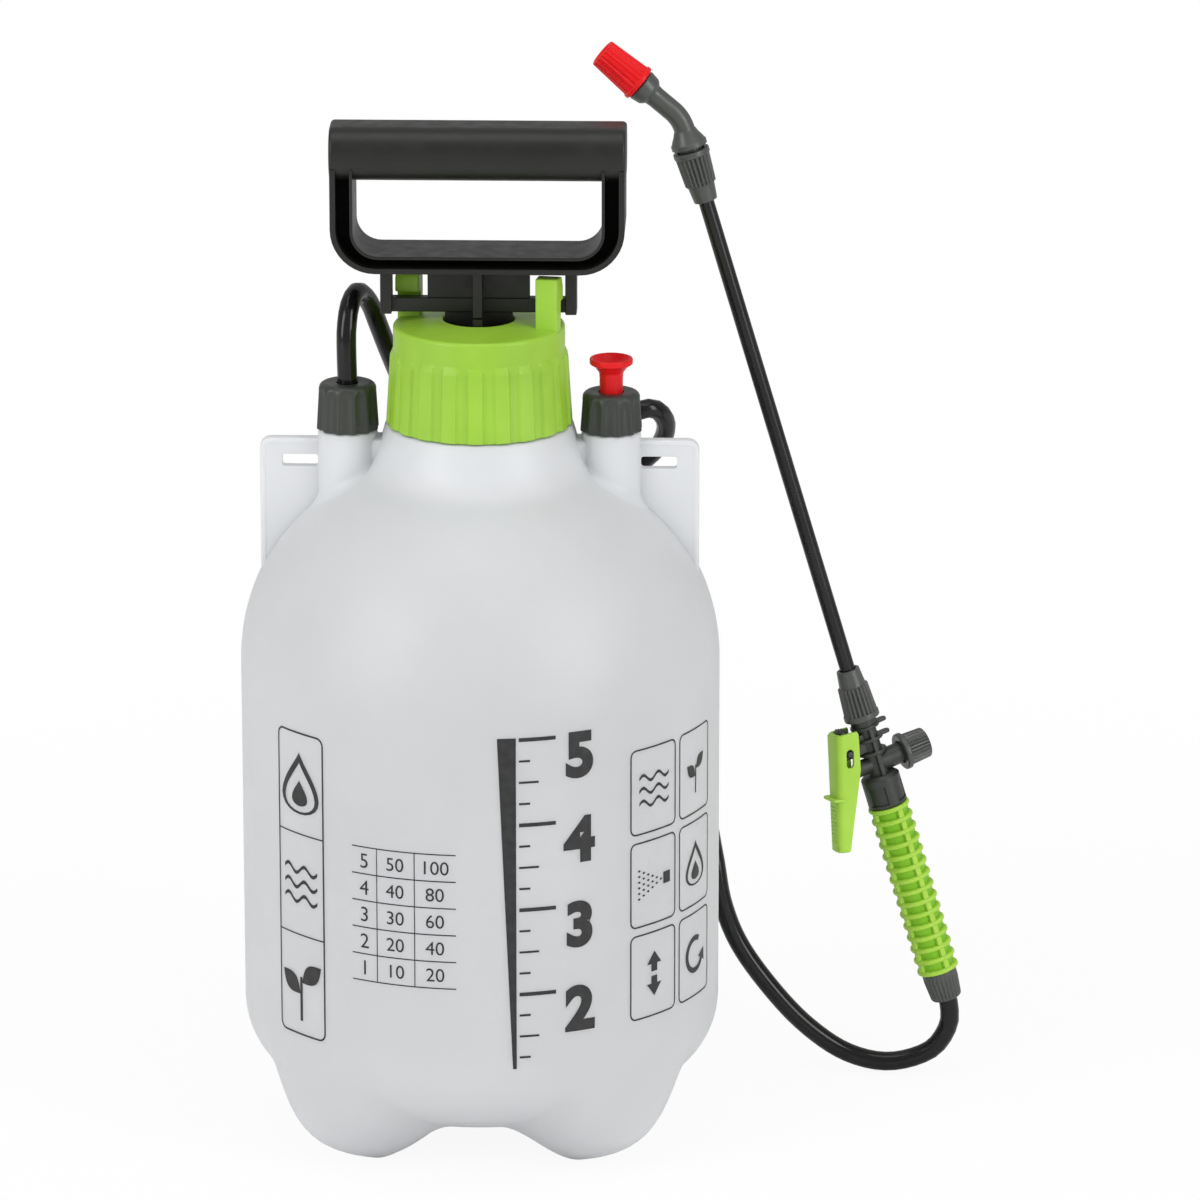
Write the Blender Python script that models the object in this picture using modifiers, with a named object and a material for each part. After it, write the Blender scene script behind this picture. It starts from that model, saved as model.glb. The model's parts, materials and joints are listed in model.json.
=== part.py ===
# Garden pressure sprayer: tank, hand pump, relief valve, hose and trigger lance.
# Metres, +Z up. The sprayer stands on its four feet and faces -Y.

import math

import bmesh
import bpy
from mathutils import Matrix, Vector

# Fits between pieces
GAP = 0.0003
SLIDE_CLEARANCE = 0.0004

# Tank body
TANK_RADIUS = 0.097
TANK_WALL = 0.0022
SHOULDER_HEIGHT = 0.200
DOME_RISE = 0.089
KNUCKLE_HEIGHT = 0.050
RIM_INSET = 0.008
RIM_HEIGHT = 0.030
BELLY_HEIGHT = 0.014
FOOT_COUNT = 4
FOOT_INSET = 0.026
FOOT_PAD_WIDTH = 0.016

# Main neck
NECK_RADIUS = 0.0323
NECK_WALL = 0.0038
NECK_RISE = 0.033
NECK_LENGTH = 0.0275
COLLAR_WIDTH = 0.0064
COLLAR_EDGE = 0.0006
COLLAR_SWEEP = 0.0213

# Side necks for the hose outlet and the relief valve
SIDE_NECK_OFFSET = 0.053
SIDE_NECK_RADIUS = 0.012
SIDE_NECK_RISE = 0.006
SPIGOT_RADIUS = 0.009
SPIGOT_LENGTH = 0.011
SPIGOT_BORE = 0.0065

# Strap fins
FIN_INSET = 0.0085
FIN_THICKNESS = 0.005
FIN_DROP = 0.0035
FIN_CORNER = 0.004
SLOT_SHARE = 0.62
SLOT_HEIGHT = 0.0051
SLOT_DROP = 0.0068

# Side nuts
NUT_RADIUS = 0.0127
NUT_TOP_RADIUS = 0.0117
NUT_FLUTES = 10
NUT_FLUTE_RADIUS = 0.0030
NUT_FLUTE_DEPTH = 0.0009
NUT_TOP_PLATE = 0.0030
OUTLET_NUT_HEIGHT = 0.0193
RELIEF_NUT_HEIGHT = 0.0163
FITTING_FLANGE_RADIUS = 0.0087
FITTING_FLANGE = 0.0022
OUTLET_SEAL_THICKNESS = 0.0014
OUTLET_BORE = 0.0025
DIP_TUBE_RADIUS = 0.0040
DIP_TUBE_WALL = 0.0010
DIP_SOCKET_DEPTH = 0.014
DIP_TUBE_FLOOR_GAP = 0.009
FILTER_LENGTH = 0.020
FILTER_WALL = 0.0013
FILTER_SLOTS = 4

# Relief valve
RELIEF_KNOB_RADIUS = 0.0087
RELIEF_STEM_RADIUS = 0.0047
RELIEF_KNOB_HEIGHT = 0.0164
RELIEF_DISH = 0.0042
RELIEF_PIN_RADIUS = 0.0018
RELIEF_SPRING_SPARE = 0.023
RELIEF_BORE = 0.0044
RELIEF_SEAT_HOLE = 0.0025
RELIEF_SEAT = 0.0020
RELIEF_SEAL = 0.0016
RELIEF_POPPET = 0.0036
RELIEF_LIFT = 0.005
RELIEF_COILS = 5
RELIEF_WIRE = 0.0009

# Pump cap
CAP_RADIUS = 0.0380
CAP_SKIRT_TOP_RADIUS = 0.0361
CAP_BAND_RADIUS = 0.0345
CAP_SKIRT = 0.0328
CAP_BAND = 0.0097
CAP_CHAMFER = 0.0030
CAP_CROWN = 0.0022
CAP_TOP_PLATE = 0.0030
CAP_LIFT = 0.0020
CAP_FLUTES = 21
CAP_FLUTE_RADIUS = 0.0030
CAP_FLUTE_DEPTH = 0.0014
THREAD_CLEARANCE = 0.0011
GASKET = 0.0017
HOOK_LENGTH = 0.0100
HOOK_THICKNESS = 0.0050
HOOK_NOSE = 0.0100
HOOK_REACH = 0.0037
LOCK_ANGLE = math.radians(9.5)

# Pump barrel, piston and rod
BARREL_RADIUS = 0.0185
BARREL_WALL = 0.0020
BARREL_FLANGE = 0.0020
BARREL_FLOOR = 0.0030
PORT_COUNT = 4
PORT_RADIUS = 0.0016
PORT_CIRCLE = 0.0048
UMBRELLA_RADIUS = 0.0076
VALVE_STEM_HOLE = 0.0020
BUSH_LENGTH = 0.0125
BUSH_FLANGE_RADIUS = 0.0215
PISTON_LENGTH = 0.0155
PISTON_FLOOR_GAP = 0.0032
PISTON_SEAL_WIDTH = 0.0028
ROD_RADIUS = 0.0137
ROD_RIB = 0.0037
ROD_CLEARANCE = 0.0007
STROKE = 0.160
STROKE_SPARE = 0.0123

# Handle
HANDLE_WIDTH = 0.119
HANDLE_DEPTH = 0.030
HANDLE_HEIGHT = 0.0603
GRIP_HEIGHT = 0.0232
GRIP_ROUNDING = 0.0095
STIRRUP_SIDE = 0.0092
STIRRUP_BOTTOM = 0.0066
STIRRUP_RIM = 0.0024
STIRRUP_INNER_RIM = 0.0013
STIRRUP_WEB = 0.0040
OUTER_CORNER = 0.018
INNER_CORNER = 0.010
BAR_HEIGHT = 0.0058
BAR_THICKNESS = 0.0055
BAR_CAP_GAP = 0.0030
HANDLE_CAP_GAP = 0.0205
LEG_WIDTH = 0.0046
LEG_DEPTH = 0.0110
CENTRE_WEB_WIDTH = 0.0410

# Hose
HOSE_RADIUS = 0.0040
HOSE_STEP = 0.0205

# Lance: place and tilt of its axis, measured at the valve's cross pipe
TANK_OFFSET = 0.05041
LANCE_X = 0.1615
LANCE_Y = 0.0620
LANCE_Z = 0.1350
LANCE_TILT = math.radians(16.62)
VALVE_TURN = math.radians(24.0)

# Grip and hose nut
GRIP_LENGTH = 0.0757
GRIP_CORE = 0.0069
GRIP_RING_RADIUS = 0.0088
GRIP_RINGS = 15
GRIP_RING_WIDTH = 0.0019
GRIP_BARS = 4
GRIP_BAR_TURN = math.radians(-56.0)
GRIP_BAR_WIDTH = 0.0026
GRIP_BAR_RADIUS = 0.0082
GRIP_TUBE_RADIUS = 0.0048
GRIP_TUBE_BORE = 0.0028
HOSE_NUT_LENGTH = 0.0127
HOSE_NUT_TOP_RADIUS = 0.0073
HOSE_NUT_RADIUS = 0.0064
HOSE_NUT_PLATE = 0.0028
KNURL_COUNT = 10
KNURL_RADIUS = 0.0008

# Valve body
COLLAR_RADIUS = 0.0082
COLLAR_LENGTH = 0.0127
COLLAR_TOP = -0.0047
PANEL_DEPTH = 0.0009
NECK_CORE_RADIUS = 0.0043
VALVE_DISC_RADIUS = 0.0062
VALVE_DISC_WIDTH = 0.0015
VALVE_DISC_HEIGHTS = (0.0062, 0.0122, 0.0176)
WEB_WIDTH = 0.0018
SPIGOT_THREAD_RADIUS = 0.0055
LANCE_SPIGOT_TOP = 0.0310
CROSS_HEIGHT = 0.0010
CROSS_LEFT_RADIUS = 0.0034
CROSS_LEFT_END = -0.0092
CROSS_RIGHT_RADIUS = 0.0045
CROSS_RIGHT_END = 0.0190
STEM_RADIUS = 0.0016
KNOB_START = 0.0117
KNOB_LENGTH = 0.0119
KNOB_RIM_RADIUS = 0.0078
KNOB_RADIUS = 0.0068
KNOB_END_RADIUS = 0.0064
KNOB_END_PLATE = 0.0020
VALVE_SPRING_COILS = 4
VALVE_SPRING_WIRE = 0.0006

# Trigger, measured from its pin
PIN_X = -0.0118
PIN_HEIGHT = 0.0103
PIN_RADIUS = 0.0012
TRIGGER_LEAN = math.radians(15.7)
TRIGGER_TOP = 0.0078
TRIGGER_LENGTH = 0.0494
TRIGGER_FRONT = 0.0058
TRIGGER_TOP_DEPTH = 0.0098
TRIGGER_BELLY_DEPTH = 0.0106
TRIGGER_TIP_DEPTH = 0.0054
TRIGGER_WIDTH = 0.0126
TRIGGER_TIP_WIDTH = 0.0094
TRIGGER_WALL = 0.0016
TRIGGER_SLOT_LENGTH = 0.0080
TRIGGER_SQUEEZE = math.radians(14.0)
LUG_WIDTH = 0.0060
LUG_RADIUS = 0.0032
FINGER_RIDGE_HEIGHT = 0.0012
FINGER_RIDGE_REACH = 0.0022

# Lance nuts, tube, elbow and nozzle
NUT_RIM_RADIUS = 0.0075
NUT_RIM = 0.0023
NUT_BODY = 0.0122
NUT_BODY_RADIUS = 0.0064
NUT_SLEEVE = 0.0074
NUT_SLEEVE_RADIUS = 0.0054
NUT_SLEEVE_END_RADIUS = 0.0048
LOWER_NUT_START = 0.0212
FERRULE = 0.0014
LANCE_RADIUS = 0.0032
LANCE_WALL = 0.0009
LANCE_START = 0.0180
ELBOW_START = 0.2738
ELBOW_FLANGE_RADIUS = 0.0074
ELBOW_FLANGE = 0.0020
ELBOW_PIPE_RADIUS = 0.0043
ELBOW_BORE = 0.0020
ELBOW_RISE = 0.0125
ELBOW_REACH = 0.0217
ELBOW_BEND = math.radians(33.3)
ELBOW_BEND_RADIUS = 0.016
ELBOW_FLARE_RADIUS = 0.0062
ELBOW_SPIGOT_RADIUS = 0.0048
ELBOW_SPIGOT = 0.0110
NOZZLE_LENGTH = 0.0200
NOZZLE_LIP_RADIUS = 0.0077
NOZZLE_BASE_RADIUS = 0.0072
NOZZLE_TIP_RADIUS = 0.0060
NOZZLE_LIP = 0.0016
NOZZLE_RIBS = 16
NOZZLE_ORIFICE = 0.0008
NOZZLE_DISH = 0.0022

# Places that follow from the sizes above
DOME_TOP = SHOULDER_HEIGHT + DOME_RISE
NECK_TOP = DOME_TOP + NECK_RISE
COLLAR_HEIGHT = NECK_TOP - NECK_LENGTH
SIDE_NECK_TOP = DOME_TOP + SIDE_NECK_RISE
SPIGOT_TOP = SIDE_NECK_TOP + SPIGOT_LENGTH
NUT_BOTTOM = SIDE_NECK_TOP + GAP
CAP_BOTTOM = COLLAR_HEIGHT + CAP_LIFT
CAP_SHOULDER = CAP_BOTTOM + CAP_SKIRT
CAP_TOP = CAP_SHOULDER + CAP_BAND
CAP_PEAK = CAP_TOP + CAP_CROWN
CAP_HOLE = ROD_RADIUS + ROD_CLEARANCE
FLANGE_TOP = NECK_TOP + GAP + GASKET + GAP + BARREL_FLANGE
PISTON_ROOM = BUSH_LENGTH + STROKE_SPARE + STROKE + PISTON_LENGTH + PISTON_FLOOR_GAP
BARREL_BOTTOM = FLANGE_TOP - PISTON_ROOM - BARREL_FLOOR
BARREL_BORE = BARREL_RADIUS - BARREL_WALL
PISTON_BOTTOM = BARREL_BOTTOM + BARREL_FLOOR + PISTON_FLOOR_GAP
PISTON_TOP = PISTON_BOTTOM + PISTON_LENGTH
BAR_BOTTOM = CAP_PEAK + BAR_CAP_GAP
BAR_TOP = BAR_BOTTOM + BAR_HEIGHT
HANDLE_BOTTOM = CAP_PEAK + HANDLE_CAP_GAP
HANDLE_TOP = HANDLE_BOTTOM + HANDLE_HEIGHT
GRIP_TOP = COLLAR_TOP - COLLAR_LENGTH - GAP
GRIP_BOTTOM = GRIP_TOP - GRIP_LENGTH
HOSE_NUT_BOTTOM = GRIP_BOTTOM - GAP - HOSE_NUT_LENGTH
GRIP_TUBE_END = HOSE_NUT_BOTTOM + HOSE_NUT_LENGTH / 2
HOSE_BORE = HOSE_RADIUS + SLIDE_CLEARANCE
HOSE_START = SPIGOT_TOP + GAP + OUTLET_SEAL_THICKNESS + GAP + FITTING_FLANGE + GAP

# Round pieces: how many flats stand for a circle
FINE, MEDIUM, COARSE = 36, 16, 12

# The hose's route in the tank's own place, from the outlet nut to the hose nut on the grip
HOSE_ROUTE = (
    (-0.0531, 0.0000, 0.3185),
    (-0.0533, 0.0002, 0.3275),
    (-0.0532, 0.0012, 0.3365),
    (-0.0520, 0.0060, 0.3450),
    (-0.0492, 0.0145, 0.3480),
    (-0.0452, 0.0225, 0.3415),
    (-0.0420, 0.0280, 0.3310),
    (-0.0380, 0.0360, 0.3170),
    (-0.0330, 0.0490, 0.3000),
    (-0.0250, 0.0690, 0.2790),
    (-0.0110, 0.0860, 0.2630),
    (0.0120, 0.0930, 0.2550),
    (0.0340, 0.0890, 0.2580),
    (0.0490, 0.0790, 0.2700),
    (0.0600, 0.0735, 0.2820),
    (0.0690, 0.0755, 0.2835),
    (0.0735, 0.0840, 0.2740),
    (0.0680, 0.0940, 0.2600),
    (0.0480, 0.1030, 0.2430),
    (0.0160, 0.1090, 0.2250),
    (-0.0200, 0.1070, 0.1980),
    (-0.0520, 0.0960, 0.1700),
    (-0.0730, 0.0820, 0.1370),
    (-0.0750, 0.0790, 0.1010),
    (-0.0620, 0.0890, 0.0690),
    (-0.0350, 0.1020, 0.0500),
    (-0.0020, 0.1080, 0.0490),
    (0.0260, 0.1050, 0.0690),
    (0.0410, 0.1005, 0.0990),
    (0.0500, 0.0965, 0.1280),
    (0.0630, 0.0885, 0.1470),
    (0.0790, 0.0775, 0.1430),
    (0.0890, 0.0700, 0.1180),
    (0.0945, 0.0650, 0.0930),
    (0.0980, 0.0625, 0.0740),
    (0.1050, 0.0620, 0.0560),
    (0.1180, 0.0620, 0.0370),
    (0.1330, 0.0620, 0.0205),
    (0.1500, 0.0620, 0.0085),
    (0.1680, 0.0620, 0.0044),
    (0.1850, 0.0620, 0.0095),
    (0.1925, 0.0620, 0.0200),
)


# Scene, finishes and placing

def clear_scene():
    for obj in list(bpy.data.objects):
        bpy.data.objects.remove(obj, do_unlink=True)


def new_collection(name):
    group = bpy.data.collections.new(name)
    bpy.context.scene.collection.children.link(group)
    return group


def finish(name, colour, roughness):
    made = bpy.data.materials.new(name)
    made.use_nodes = True
    shader = made.node_tree.nodes["Principled BSDF"]
    shader.inputs["Base Color"].default_value = (*colour, 1.0)
    shader.inputs["Roughness"].default_value = roughness
    shader.inputs["Metallic"].default_value = 0.0
    return made


def finish_metal(name, colour, roughness):
    made = finish(name, colour, roughness)
    made.node_tree.nodes["Principled BSDF"].inputs["Metallic"].default_value = 1.0
    return made


def empty(name, parent=None, at=(0, 0, 0), turn=(0, 0, 0)):
    made = bpy.data.objects.new(name, None)
    made.location = at
    made.rotation_euler = turn
    made.parent = parent
    made.empty_display_size = 0.02
    PARTS.objects.link(made)
    return made


def add(name, data, parent, look, at=(0, 0, 0), turn=(0, 0, 0)):
    obj = bpy.data.objects.new(name, data)
    obj.location = at
    obj.rotation_euler = turn
    obj.parent = parent
    if look is None:
        CUTTERS.objects.link(obj)
        obj.hide_render = True
        obj.display_type = "WIRE"
    else:
        PARTS.objects.link(obj)
        data.materials.append(look)
    return obj


def mesh_from(bm, name):
    bmesh.ops.recalc_face_normals(bm, faces=bm.faces)
    mesh = bpy.data.meshes.new(name)
    bm.to_mesh(mesh)
    bm.free()
    return mesh


def boolean(obj, other, operation):
    modifier = obj.modifiers.new(operation.title(), "BOOLEAN")
    modifier.operation = operation
    modifier.object = other


def cut(obj, *others):
    for other in others:
        boolean(obj, other, "DIFFERENCE")


def join(obj, *others):
    for other in others:
        boolean(obj, other, "UNION")


def bevel(obj, width, segments=2, angle=math.radians(35)):
    modifier = obj.modifiers.new("Bevel", "BEVEL")
    modifier.width = width
    modifier.segments = segments
    modifier.limit_method = "ANGLE"
    modifier.angle_limit = angle


# Shapes

def turned(name, profile, parent, look, at=(0, 0, 0), turn=(0, 0, 0), steps=MEDIUM, ring=True):
    """A profile of (radius, height), down its outer side, turned about Z. A ring closes on itself."""
    edges = [(i, i + 1) for i in range(len(profile) - 1)]
    if ring:
        edges.append((len(profile) - 1, 0))
    mesh = bpy.data.meshes.new(name)
    mesh.from_pydata([(r, 0, z) for r, z in profile], edges, [])
    obj = add(name, mesh, parent, look, at, turn)
    screw = obj.modifiers.new("Turn", "SCREW")
    screw.steps = steps
    screw.render_steps = steps
    screw.use_merge_vertices = True
    screw.merge_threshold = 0.00001
    return obj


def rod(name, radius, low, high, parent, at=(0, 0, 0), turn=(0, 0, 0), steps=MEDIUM, look=None):
    profile = [(0, high), (radius, high), (radius, low), (0, low)]
    return turned(name, profile, parent, look, at, turn, steps, ring=False)


def rounded(corners, steps=4):
    """An outline through (x, y, corner radius) points, each corner an arc."""
    points = []
    for i, (x, y, radius) in enumerate(corners):
        here = Vector((x, y))
        before = (Vector(corners[i - 1][:2]) - here).normalized()
        after = (Vector(corners[(i + 1) % len(corners)][:2]) - here).normalized()
        if radius == 0:
            points.append(here)
            continue
        half = before.angle(after) / 2
        centre = here + (before + after).normalized() * (radius / math.sin(half))
        first = here + before * (radius / math.tan(half)) - centre
        last = here + after * (radius / math.tan(half)) - centre
        start = math.atan2(first.y, first.x)
        sweep = math.remainder(math.atan2(last.y, last.x) - start, 2 * math.pi)
        for k in range(steps + 1):
            angle = start + sweep * k / steps
            points.append(centre + radius * Vector((math.cos(angle), math.sin(angle))))
    return [tuple(p) for p in points]


def prism(name, outline, depth, parent, look, at=(0, 0, 0), turn=(0, 0, 0)):
    """An outline in X and Z, as deep as depth and centred on its own plane."""
    bm = bmesh.new()
    face = bm.faces.new([bm.verts.new((x, -depth / 2, z)) for x, z in outline])
    pulled = bmesh.ops.extrude_face_region(bm, geom=[face])["geom"]
    corners = [v for v in pulled if isinstance(v, bmesh.types.BMVert)]
    bmesh.ops.translate(bm, verts=corners, vec=(0, depth, 0))
    return add(name, mesh_from(bm, name), parent, look, at, turn)


def block(name, low, high, parent, look=None, at=(0, 0, 0), turn=(0, 0, 0)):
    low, high = Vector(low), Vector(high)
    bm = bmesh.new()
    bmesh.ops.create_cube(bm, size=1.0)
    bmesh.ops.scale(bm, vec=high - low, verts=bm.verts)
    bmesh.ops.translate(bm, vec=(low + high) / 2, verts=bm.verts)
    return add(name, mesh_from(bm, name), parent, look, at, turn)


def flutes(name, count, top, bottom, radius, parent, at=(0, 0, 0), turn=(0, 0, 0), sides=8, rings=4):
    """Round-topped grooves in a ring, as cutters. Top and bottom are (radius, height) of an axis."""
    lean = math.atan2(bottom[0] - top[0], top[1] - bottom[1])
    length = math.dist(top, bottom)
    bm = bmesh.new()
    for i in range(count):
        made = bmesh.ops.create_uvsphere(bm, u_segments=sides, v_segments=rings, radius=radius)
        for v in made["verts"]:
            if v.co.z < -radius * 0.1:
                v.co.z -= length
        spin = Matrix.Rotation(2 * math.pi * i / count, 4, "Z")
        stand = Matrix.Translation((top[0], 0, top[1])) @ Matrix.Rotation(-lean, 4, "Y")
        bmesh.ops.transform(bm, matrix=spin @ stand, verts=made["verts"])
    return add(name, mesh_from(bm, name), parent, None, at, turn)


def tube(name, points, radius, parent, look, resolution=2, at=(0, 0, 0), turn=(0, 0, 0)):
    curve = bpy.data.curves.new(name, "CURVE")
    curve.dimensions = "3D"
    curve.bevel_depth = radius
    curve.bevel_resolution = resolution
    curve.use_fill_caps = True
    spline = curve.splines.new("POLY")
    spline.points.add(len(points) - 1)
    for point, co in zip(spline.points, points):
        point.co = (*co, 1.0)
    return add(name, curve, parent, look, at, turn)


def as_mesh(obj):
    """The curve's mesh as an object of the same name, its caps welded, so that it can be cut and joined."""
    bpy.context.view_layer.update()
    graph = bpy.context.evaluated_depsgraph_get()
    mesh = bpy.data.meshes.new_from_object(obj.evaluated_get(graph))
    bm = bmesh.new()
    bm.from_mesh(mesh)
    bmesh.ops.remove_doubles(bm, verts=bm.verts, dist=0.000001)
    bm.to_mesh(mesh)
    bm.free()
    name, parent, look = obj.name, obj.parent, obj.data.materials[0] if obj.data.materials else None
    at, turn = obj.location.copy(), obj.rotation_euler.copy()
    bpy.data.objects.remove(obj, do_unlink=True)
    mesh.name = name
    mesh.materials.clear()
    return add(name, mesh, parent, look, at, turn)


def smooth_route(points, step):
    """Points about a step apart on a smooth curve through the route's own points."""
    points = [Vector(p) for p in points]
    ends = [2 * points[0] - points[1], *points, 2 * points[-1] - points[-2]]
    fine = []
    for a, b, c, d in zip(ends, ends[1:], ends[2:], ends[3:]):
        for k in range(12):
            t = k / 12
            bend = 2 * a - 5 * b + 4 * c - d
            twist = 3 * b - a - 3 * c + d
            fine.append(0.5 * (2 * b + (c - a) * t + bend * t**2 + twist * t**3))
    fine.append(points[-1])
    length = sum((q - p).length for p, q in zip(fine, fine[1:]))
    count = round(length / step)
    route, walked, target = [fine[0]], 0.0, length / count
    for p, q in zip(fine, fine[1:]):
        span = (q - p).length
        while walked + span >= target and len(route) < count:
            route.append(p.lerp(q, (target - walked) / span))
            target += length / count
        walked += span
    return route + [fine[-1]], length


def coil(radius, low, high, turns, wire):
    """A spring's centre line, with a closed half turn at each end, and the least gap between its turns."""
    count = turns * 8
    points = []
    for i in range(count + 1):
        share = i / count
        angle = 2 * math.pi * turns * share
        height = low + wire / 2 + (high - low - wire) * share
        points.append((radius * math.cos(angle), radius * math.sin(angle), height))
    apart = [
        math.dist(points[i], points[j]) for i in range(count + 1) for j in range(i + 6, count + 1)
    ]
    return points, min(apart) - wire


def between(start, end, share):
    return start + (end - start) * share


def bezier(points, t):
    while len(points) > 1:
        points = [tuple(between(p, q, t) for p, q in zip(a, b)) for a, b in zip(points, points[1:])]
    return points[0]


# Tank

def dome_height(radius, inset=0.0):
    share = radius / (TANK_RADIUS - inset)
    return SHOULDER_HEIGHT + (DOME_RISE - inset) * math.sqrt(max(0.0, 1.0 - share**2))


def neck_sweep(radius):
    """How far the dome stands above its own curve, to meet the collar."""
    collar = NECK_RADIUS + COLLAR_WIDTH
    share = max(0.0, 1 - (radius - collar) / COLLAR_SWEEP)
    return (COLLAR_HEIGHT - COLLAR_EDGE - dome_height(collar)) * share**4


def dome_points(inset, top_radius, count):
    reach = math.acos(top_radius / (TANK_RADIUS - inset))
    angles = [reach * (1 - i / count) for i in range(count + 1)]
    return [
        ((TANK_RADIUS - inset) * math.cos(a), SHOULDER_HEIGHT + (DOME_RISE - inset) * math.sin(a))
        for a in angles
    ]


def valley(share, inset):
    """The belly between two feet, from the wall (0) to the middle (1)."""
    wall = TANK_RADIUS - inset
    rim = TANK_RADIUS - RIM_INSET - inset
    belly, edge = BELLY_HEIGHT + inset, RIM_HEIGHT + inset
    slope = 2 * (edge - belly) / rim
    knuckle = [(wall, KNUCKLE_HEIGHT + inset), (wall, edge + slope * (wall - rim)), (rim, edge)]
    if share < 0.3:
        return bezier(knuckle, share / 0.3)
    radius = rim * (1 - (share - 0.3) / 0.7)
    return radius, belly + (edge - belly) * (radius / rim) ** 2


def foot(share, inset):
    """The profile through the middle of a foot, from the wall (0) to the middle of the belly (1)."""
    wall = TANK_RADIUS - inset
    outer = TANK_RADIUS - FOOT_INSET - inset / 2
    inner = TANK_RADIUS - FOOT_INSET - FOOT_PAD_WIDTH + inset / 2
    if share <= 0.5:
        heel = [
            (wall, KNUCKLE_HEIGHT + inset),
            (wall, 0.6 * KNUCKLE_HEIGHT),
            (between(outer, wall, 0.45), inset),
            (outer, inset),
        ]
        return bezier(heel, share / 0.5)
    if share <= 0.65:
        return between(outer, inner, (share - 0.5) / 0.15), inset
    belly = BELLY_HEIGHT + inset
    rise = [(inner, inset), (0.7 * inner, inset), (0.5 * inner, belly), (0, belly)]
    return bezier(rise, (share - 0.65) / 0.35)


def base_point(share, angle, inset):
    """A point of the base: a foot fades into the valleys at its two sides."""
    wave = math.cos(FOOT_COUNT * angle - math.pi)
    lobe = min(1.0, max(0.0, (wave + 0.375) / 1.2))
    lobe = lobe * lobe * (3 - 2 * lobe)
    low, high = foot(share, inset), valley(share, inset)
    return tuple(between(h, f, lobe) for f, h in zip(low, high))


def bottle(name, inset, upper, parent, look):
    """A closed bottle: rings down the neck and dome, then the footed base to a point in the middle."""
    shares = [0, 0.24, 0.5, 0.65, 0.76, 0.88] if inset else [0, 0.12, 0.24, 0.37, 0.5, 0.65, 0.76, 0.88]
    bm = bmesh.new()
    rings = []
    angles = [2 * math.pi * i / FINE for i in range(FINE)]
    for radius, height in upper:
        rings.append([bm.verts.new((radius * math.cos(a), radius * math.sin(a), height)) for a in angles])
    for share in shares:
        row = [(a, base_point(share, a, inset)) for a in angles]
        rings.append([bm.verts.new((r * math.cos(a), r * math.sin(a), z)) for a, (r, z) in row])
    for above, below in zip(rings, rings[1:]):
        for i in range(FINE):
            j = (i + 1) % FINE
            bm.faces.new((above[i], below[i], below[j], above[j]))
    bm.faces.new(rings[0])
    middle = bm.verts.new((0, 0, base_point(1, 0, inset)[1]))
    for i in range(FINE):
        bm.faces.new((rings[-1][(i + 1) % FINE], rings[-1][i], middle))
    mesh = mesh_from(bm, name)
    mesh.shade_smooth()
    return add(name, mesh, parent, look)


def build_tank():
    collar = NECK_RADIUS + COLLAR_WIDTH
    bore = NECK_RADIUS - NECK_WALL
    upper = [(NECK_RADIUS, NECK_TOP), (NECK_RADIUS, COLLAR_HEIGHT), (collar, COLLAR_HEIGHT)]
    near = [collar + COLLAR_SWEEP * share for share in (0, 0.09, 0.22, 0.42)]
    dome = [(r, dome_height(r)) for r in near] + dome_points(0.0, collar + 0.7 * COLLAR_SWEEP, 6)
    upper += [(r, z + neck_sweep(r)) for r, z in dome]
    tank = bottle("tank", 0.0, upper, ROOT, WHITE)
    hollow = [(bore, NECK_TOP + 0.01), *dome_points(TANK_WALL, bore, 4)]
    cavity = bottle("tank_cavity", TANK_WALL, hollow, ROOT, None)
    sides, slots, bores = [], [], []
    foot_radius = TANK_RADIUS - FIN_INSET
    fin_top = SIDE_NECK_TOP - FIN_DROP
    fin_end = dome_height(foot_radius) - TANK_WALL
    inside = SIDE_NECK_OFFSET + SIDE_NECK_RADIUS / 3
    for side, word in ((-1, "left"), (1, "right")):
        at = (side * SIDE_NECK_OFFSET, 0, 0)
        low = dome_height(SIDE_NECK_OFFSET + SIDE_NECK_RADIUS, TANK_WALL) - TANK_WALL
        profile = [(0, SPIGOT_TOP), (SPIGOT_RADIUS, SPIGOT_TOP), (SPIGOT_RADIUS, SIDE_NECK_TOP)]
        profile += [(SIDE_NECK_RADIUS, SIDE_NECK_TOP), (SIDE_NECK_RADIUS, low), (0, low)]
        sides.append(turned(f"{word}_neck", profile, ROOT, None, at, ring=False))
        outline = rounded([
            (side * inside, fin_top, 0),
            (side * foot_radius, fin_top, FIN_CORNER),
            (side * foot_radius, fin_end, 0),
            (side * inside, dome_height(inside, TANK_WALL) - 4 * TANK_WALL, 0),
        ])
        sides.append(prism(f"{word}_fin", outline, FIN_THICKNESS, ROOT, None))
        bevel(sides[-1], FIN_THICKNESS / 4, 1)
        start = SIDE_NECK_OFFSET + SIDE_NECK_RADIUS
        end = between(start, foot_radius, SLOT_SHARE)
        high = fin_top - SLOT_DROP
        slot = rounded([
            (side * start, high, SLOT_HEIGHT / 4),
            (side * end, high, SLOT_HEIGHT / 4),
            (side * end, high - SLOT_HEIGHT, SLOT_HEIGHT / 4),
            (side * start, high - SLOT_HEIGHT, SLOT_HEIGHT / 4),
        ], 2)
        slots.append(prism(f"{word}_slot", slot, 3 * FIN_THICKNESS, ROOT, None))
        bores.append(rod(f"{word}_bore", SPIGOT_BORE, low - 0.01, SPIGOT_TOP + 0.01, ROOT, at, (0, 0, 0.1)))
    join(tank, *sides)
    cut(tank, cavity, *slots, *bores)
    return tank


# Side nuts and what they hold

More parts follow.
